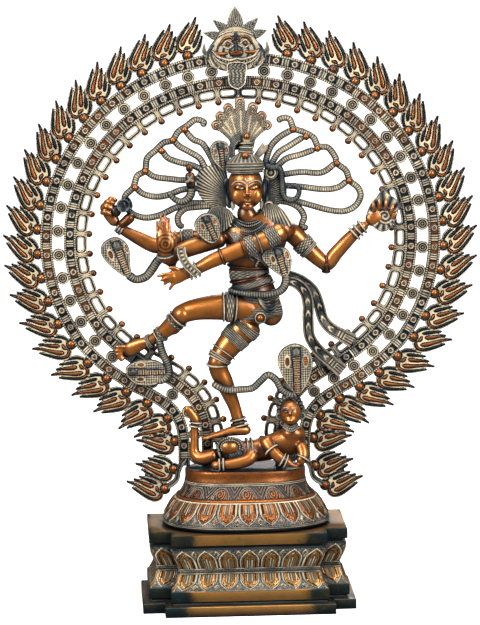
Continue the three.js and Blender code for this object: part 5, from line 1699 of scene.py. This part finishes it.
def make_dwarf():
    body = Form()
    for rows in (DWARF_BODY, DWARF_ARM_NEAR, DWARF_ARM_FAR, DWARF_SHIN, DWARF_LEG_UP):
        limb(body, rows)
    ball(body, (-20, -20, 198), (16, 14, 13))
    ball(body, (60, -16, 212), (16, 13, 12))
    limb(body, [(60, -18, 216, 9, 9), (59, -22, 226, 8, 9)])
    digits(body, [(54, -42, 178 + i * 0.5) for i in range(4)],
           [(64 + i, -44 + i * 3, 174.5) for i in range(4)], 2.4, 1.8)
    fused("dwarf_body_cast", body, plain_tone(0.50), 1.2, skin_brass,
          ["dwarf_body", "dwarf_near_arm", "dwarf_far_arm", "dwarf_bent_leg", "dwarf_raised_leg"])

    head = Form()
    ball(head, (57, -26, 240), (13.6, 13, 16))
    ball(head, (57, -31, 233), (9.5, 9, 8))
    limb(head, [(56, -38, 244, 1.5, 1.6), (56, -40, 239, 2.3, 2.3)], sides=10, step=0.7)
    limb(head, [(51.5, -38, 232.5, 0.9, 0.9), (56, -39.6, 232, 1.5, 1.4), (60.5, -38, 232.5, 0.9, 0.9)],
         sides=8, step=0.6)
    lines = []
    for way in (-1, 1):
        eye = [(56 + way * x, -38.6 + 0.12 * x * x * 0.6, 244 + z)
               for x, z in ((2.4, 0), (5.0, 1.5), (8.4, 0))]
        low = [(x, y, 243 - 0.8 * (z - 244)) for x, y, z in eye]
        brow = [(x, y + 0.2, z + 3.2) for x, y, z in eye]
        lines += [(eye, 0.10), (low, 0.10), (brow, 0.8)]
    for line, _ in lines:
        limb(head, [(*spot, 0.7, 0.7) for spot in line], sides=8, step=0.6)

    def paint(points):
        tone = np.full(len(points), 0.52)
        for spots, level in lines:
            tone = np.where(near_line(points, spots) < 1.0, level, tone)
        return tone

    fused("dwarf_head_cast", head, paint, 0.65, skin_brass, ["dwarf_head"], smooth=3)

    form = Form()
    for i in range(17):
        turn = math.radians(-38 + i * 16)
        line, _ = curve([(57 - 11.5 * math.cos(turn), -27, 244 + 14 * math.sin(turn)),
                         (57 - 15 * math.cos(turn), -23, 244 + 18 * math.sin(turn)),
                         (57 - 15.5 * math.cos(turn), -16, 244 + 18 * math.sin(turn))], 0.9)
        cord(form, line, 2.4, pitch=2.2, tone=0.7)
    for rows, spot in ((DWARF_LEG_UP, (-63, 224)), (DWARF_LEG_UP, (-63, 229)), (DWARF_SHIN, (-28, 178)),
                       (DWARF_SHIN, (-33, 178)), (DWARF_ARM_NEAR, (32, 195)), (DWARF_ARM_NEAR, (45, 183)),
                       (DWARF_ARM_NEAR, (49, 181)), (DWARF_ARM_FAR, (70, 184)), (DWARF_BODY, (2, 191)),
                       (DWARF_BODY, (8, 191)), (DWARF_BODY, (-32, 189))):
        cuff(form, rows, spot, 3.4, 1, proud=1.7)
    cuff(form, DWARF_BODY, (-14, 191), 18, 5, beads=16, proud=0.9)
    for reach in (9.5, 12.5):
        loop, _ = curve([(-19 + reach * 1.25 * math.cos(a), -33 + abs(math.cos(a)) * 4,
                          199 + reach * math.sin(a)) for a in np.linspace(-0.5, math.pi + 0.5, 9)], 1.0)
        cord(form, loop, 1.3, tone=0.85)
    for way in (-1, 1):
        turned(form, (57 + way * 14, -25, 236), [(0, 2.6, 0.6), (2.4, 2.4, 0.1), (3.6, 2.8, 0.8),
                                                 (5.0, 1.2, 0.5)])
    for lane in range(3):
        line, _ = curve([(48 - lane, -30 - lane, 228 - lane * 2), (56, -36 - lane, 224 - lane * 2.6),
                         (66 + lane, -30 - lane, 227 - lane * 2)], 1.0)
        cord(form, line, 1.4, pitch=2.2, tone=0.82)
    ornament("dwarf_hair_and_jewellery", form, [])


make_dwarf()


# ---- the mask on the crown of the ring ----

MASK_LEAVES = [((-2, 716), (-2, 745.5), 10.5), ((-11, 714), (-30, 730), 6.5), ((9, 714), (26, 731), 6.5),
               ((-20, 708), (-42, 714), 6.0), ((17, 709), (37, 716), 6.0)]


def make_mask():
    face = closed([(-2, 722), (16, 716), (24, 704), (31, 696), (35, 684), (30, 674), (16, 668), (-2, 666),
                   (-20, 667), (-34, 674), (-39, 684), (-35, 696), (-28, 705), (-20, 716)])
    tongue = closed([(-12.5, 676), (9.5, 676), (10, 660), (8, 649), (-1.5, 643.5), (-11, 649), (-13, 660)])
    leaves = strokes(*[[(a[0], a[1], wide), (a[0] * 0.55 + b[0] * 0.45, a[1] * 0.55 + b[1] * 0.45,
                                             wide * 0.85), (b[0], b[1], 0.5)] for a, b, wide in MASK_LEAVES])
    horns = strokes([(-35, 684, 3.2), (-41, 690, 3.0), (-41, 700, 0.6)],
                    [(31, 685, 3.2), (37, 691, 3.0), (37, 701, 0.6)])
    marks = [  # strokes of x, z, half width, then rise and tone
        ([(-22, 699, 0.9), (-17, 706, 1.3), (-9, 708, 1.3), (-3, 701, 0.9)], 2.0, RUBBED),
        ([(18, 700, 0.9), (14, 707, 1.3), (6, 709, 1.3), (-1, 702, 0.9)], 2.0, RUBBED),
        ([(-19, 698.5, 0.7), (-13, 704, 0.9), (-6, 699.5, 0.7)], 1.5, 0.88),
        ([(15, 699.5, 0.7), (10, 705, 0.9), (3, 700.5, 0.7)], 1.5, 0.88),
        ([(-19, 698, 0.7), (-12, 694.5, 0.9), (-5, 698.5, 0.7)], 1.3, 0.88),
        ([(15, 699, 0.7), (9, 695.5, 0.9), (1, 699, 0.7)], 1.3, 0.88),
        ([(-12, 699.5, 2.2), (-11.4, 699.5, 2.2)], 2.2, RUBBED),
        ([(9, 700.5, 2.2), (9.6, 700.5, 2.2)], 2.2, RUBBED),
        ([(-2, 712, 1.8), (-2, 700, 1.6), (-2, 692, 2.2)], 2.4, 0.10),
        ([(-7, 688.5, 2.6), (-1.5, 689, 3.4), (4, 689, 2.6)], 3.4, RUBBED),
        ([(-30, 690, 1.6), (-24, 687, 2.0), (-14, 688, 1.4)], 1.6, RUBBED),
        ([(26, 692, 1.6), (20, 689, 2.0), (11, 689.5, 1.4)], 1.6, RUBBED),
        ([(-36, 681, 0.7), (-33, 673, 1.0), (-26, 670, 1.0), (-22, 674, 0.8), (-26, 677, 0.7)], 1.8, 0.8),
        ([(32, 682, 0.7), (29, 674, 1.0), (22, 671, 1.0), (18, 675, 0.8), (22, 678, 0.7)], 1.8, 0.8),
        ([(-30, 698, 0.8), (-36, 690, 1.0), (-37, 682, 0.7)], 1.4, 0.2),
        ([(27, 699, 0.8), (32, 691, 1.0), (33, 683, 0.7)], 1.4, 0.2),
        ([(-24, 710, 0.7), (-12, 715, 0.9), (-2, 716, 0.9), (9, 715, 0.9), (20, 711, 0.7)], 1.4, 0.86),
        ([(-31, 691, 1.0), (-24, 684, 1.3), (-10, 680, 1.4), (-2, 682, 1.4), (7, 681, 1.4), (20, 685, 1.3),
          (26, 692, 1.0)], 2.2, 0.88),
        ([(-28, 683, 1.0), (-22, 678, 1.2), (-12, 674.5, 1.0)], 1.6, 0.8),
        ([(24, 684, 1.0), (18, 679, 1.2), (9, 675.5, 1.0)], 1.6, 0.8),
    ]
    mark_lines = [(line, rise, tone) for line, (_, rise, tone) in zip(strokes(*[m[0] for m in marks]),
                                                                      marks)]

    def outside(x, z):
        parts = [outline_distance(x, z, face), outline_distance(x, z, tongue)]
        parts += [stroke_distance(x, z, line)[0] for line in leaves + horns]
        return np.min(parts, axis=0)

    def surface(x, z):
        in_face = -outline_distance(x, z, face)
        height = 3.5 * np.sqrt(np.clip(in_face / 12, 0, 1))
        shade = np.cos(np.hypot(x + 2, (z - 690) * 1.2) * 0.8)
        tone = np.where(in_face > 0, np.where(shade > 0.35, 0.18, 0.68), 0.5)
        for line in leaves:
            distance, share = stroke_distance(x, z, line)
            vein = 0.5 + 0.5 * np.cos((share * 26 + np.clip(-distance, 0, 9) * 1.4) * 1.7)
            here = (distance < 0) & (in_face < 0)
            tone = np.where(here, np.where(distance > -0.9, 0.72, 0.72 * vein), tone)
            height = np.where(here, 1.0 + 0.8 * vein, height)
        for line in horns:
            distance, _ = stroke_distance(x, z, line)
            tone = np.where((distance < 0) & (in_face < 0), np.where(distance > -1.0, 0.6, 0.3), tone)
        tooth = 0.5 + 0.5 * np.cos(x * 2 * np.pi / 3.8)
        arc = 681.0 + 0.012 * (x + 2) ** 2
        teeth = (np.abs(z - arc + 3.4) < 2.4) & (np.abs(x + 2) > 9) & (np.abs(x + 2) < 23)
        tone = np.where(teeth, 0.08 + 0.84 * tooth, tone)
        height = np.where(teeth, height + 0.8 * tooth, height)
        for line, rise, level in mark_lines:
            distance, _ = stroke_distance(x, z, line)
            tone = np.where(distance < 0, level, np.where(distance < 0.6, np.minimum(tone, 0.08), tone))
            height = height + rise * np.sqrt(np.clip(-distance / 1.2, 0, 1))
        in_tongue = -outline_distance(x, z, tongue)
        here = (in_tongue > 0) & (z < 679)
        scroll = 0.5 + 0.5 * np.cos(x * 1.3 + np.sin(z * 0.75) * 2.2) * np.cos(z * 0.9)
        tone = np.where(here, np.where(in_tongue < 1.6, 0.84, np.where(in_tongue < 2.4, 0.06,
                                                                       0.10 + 0.66 * scroll ** 1.6)), tone)
        height = np.where(here, 3.2 + np.where(in_tongue < 1.6, 1.2, 1.0 * scroll), height)
        return height, tone

    form = Form()
    plaque(form, outside, surface, 5.4, (-46, 42, 640, 749), 0.62, place=lambda p: p + [0, PLATE_Y - 1.5, 0],
           back=0.1, back_tone=0.5)
    ornament("kirtimukha_cast", form, ["kirtimukha_mask"])


make_mask()


def steel_bolts():
    """The four screws inside the hollow base keep their modelled shape in dull zinc-plated steel."""
    steel, tree, shader = new_material("zinc_steel")
    blotches = ramp(tree, noise(tree, 260.0, 4.0), [(0.3, (0.30, 0.31, 0.32)), (0.7, (0.52, 0.53, 0.53))])
    tree.links.new(blotches, shader.inputs["Base Color"])
    shader.inputs["Metallic"].default_value = 1.0
    shader.inputs["Roughness"].default_value = 0.38
    for number in range(1, 5):
        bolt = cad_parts[f"plinth_bolt_{number}"]
        bolt.data.materials.clear()
        bolt.data.materials.append(steel)


steel_bolts()

# ---- floor, light and camera ----

FLOOR_REACH = 60.0
LIGHTS = [  # name, place, height aimed at, size and energy
    ("softbox_left", (-1.5, -1.5, 1.5), 0.38, (0.7, 1.3), 55),
    ("softbox_right", (1.35, -1.7, 1.3), 0.38, (0.6, 1.3), 50),
    ("overhead", (0, -0.3, 2.4), 0.3, (1.6, 1.2), 35),
    ("back_rim", (0.6, 2.0, 1.6), 0.4, (1.4, 1.0), 40),
]
AZIMUTH, ELEVATION, ROLL = math.radians(-2.2), math.radians(7), math.radians(1.0)
CAMERA_DISTANCE, SENSOR_MM, LENS_MM = 5.0, 36.0, 230.4
CAMERA_AIM = Vector((-0.0029, 0, 0.3644))


def make_floor():
    mesh = bpy.data.meshes.new("floor")
    reach = FLOOR_REACH
    mesh.from_pydata([(-reach, -reach, 0), (reach, -reach, 0), (reach, reach, 0), (-reach, reach, 0)], [],
                     [(0, 1, 2, 3)])
    floor = bpy.data.objects.new("floor", mesh)
    link(floor)
    material, _, shader = new_material("pale_floor")
    shader.inputs["Base Color"].default_value = (0.93, 0.93, 0.93, 1)
    shader.inputs["Roughness"].default_value = 0.9
    shader.inputs["Specular IOR Level"].default_value = 0.0
    mesh.materials.append(material)
    floor.visible_glossy = False


def area_light(name, place, aim_height, size, energy):
    light = bpy.data.lights.new(name, "AREA")
    light.shape = "RECTANGLE"
    light.size, light.size_y = size
    light.energy = energy
    lamp = bpy.data.objects.new(name, light)
    lamp.location = place
    lamp.rotation_euler = (Vector((0, 0, aim_height)) - Vector(place)).to_track_quat("-Z", "Y").to_euler()
    link(lamp)


def make_lights():
    for row in LIGHTS:
        area_light(*row)
    sun = bpy.data.lights.new("floor_sun", "SUN")
    sun.energy = 5.0
    sun.angle = math.radians(50)
    lamp = bpy.data.objects.new("floor_sun", sun)
    lamp.rotation_euler = (math.radians(18), math.radians(-8), 0)
    lamp.visible_glossy = False
    link(lamp)
    world = bpy.data.worlds.new("studio")
    bpy.context.scene.world = world
    world.use_nodes = True
    background = world.node_tree.nodes["Background"]
    background.inputs["Color"].default_value = (0.55, 0.66, 0.74, 1)
    background.inputs["Strength"].default_value = 0.12


def make_camera():
    """The camera looks down 7 degrees, from a little to the left, and leans a degree."""
    level = math.cos(ELEVATION)
    back = Vector((math.sin(AZIMUTH) * level, -math.cos(AZIMUTH) * level, math.sin(ELEVATION)))
    right = Vector((math.cos(AZIMUTH), math.sin(AZIMUTH), 0))
    up = back.cross(right)
    leant_right = right * math.cos(ROLL) - up * math.sin(ROLL)
    leant_up = up * math.cos(ROLL) + right * math.sin(ROLL)
    lens = bpy.data.cameras.new("camera")
    lens.sensor_width = SENSOR_MM
    lens.lens = LENS_MM
    lens.clip_end = 200.0
    camera = bpy.data.objects.new("camera", lens)
    turn = Matrix((leant_right, leant_up, back)).transposed().to_4x4()
    camera.matrix_world = Matrix.Translation(CAMERA_AIM + back * CAMERA_DISTANCE) @ turn
    link(camera)
    bpy.context.scene.camera = camera


bpy.context.scene.view_settings.view_transform = "Standard"
make_floor()
make_lights()
make_camera()
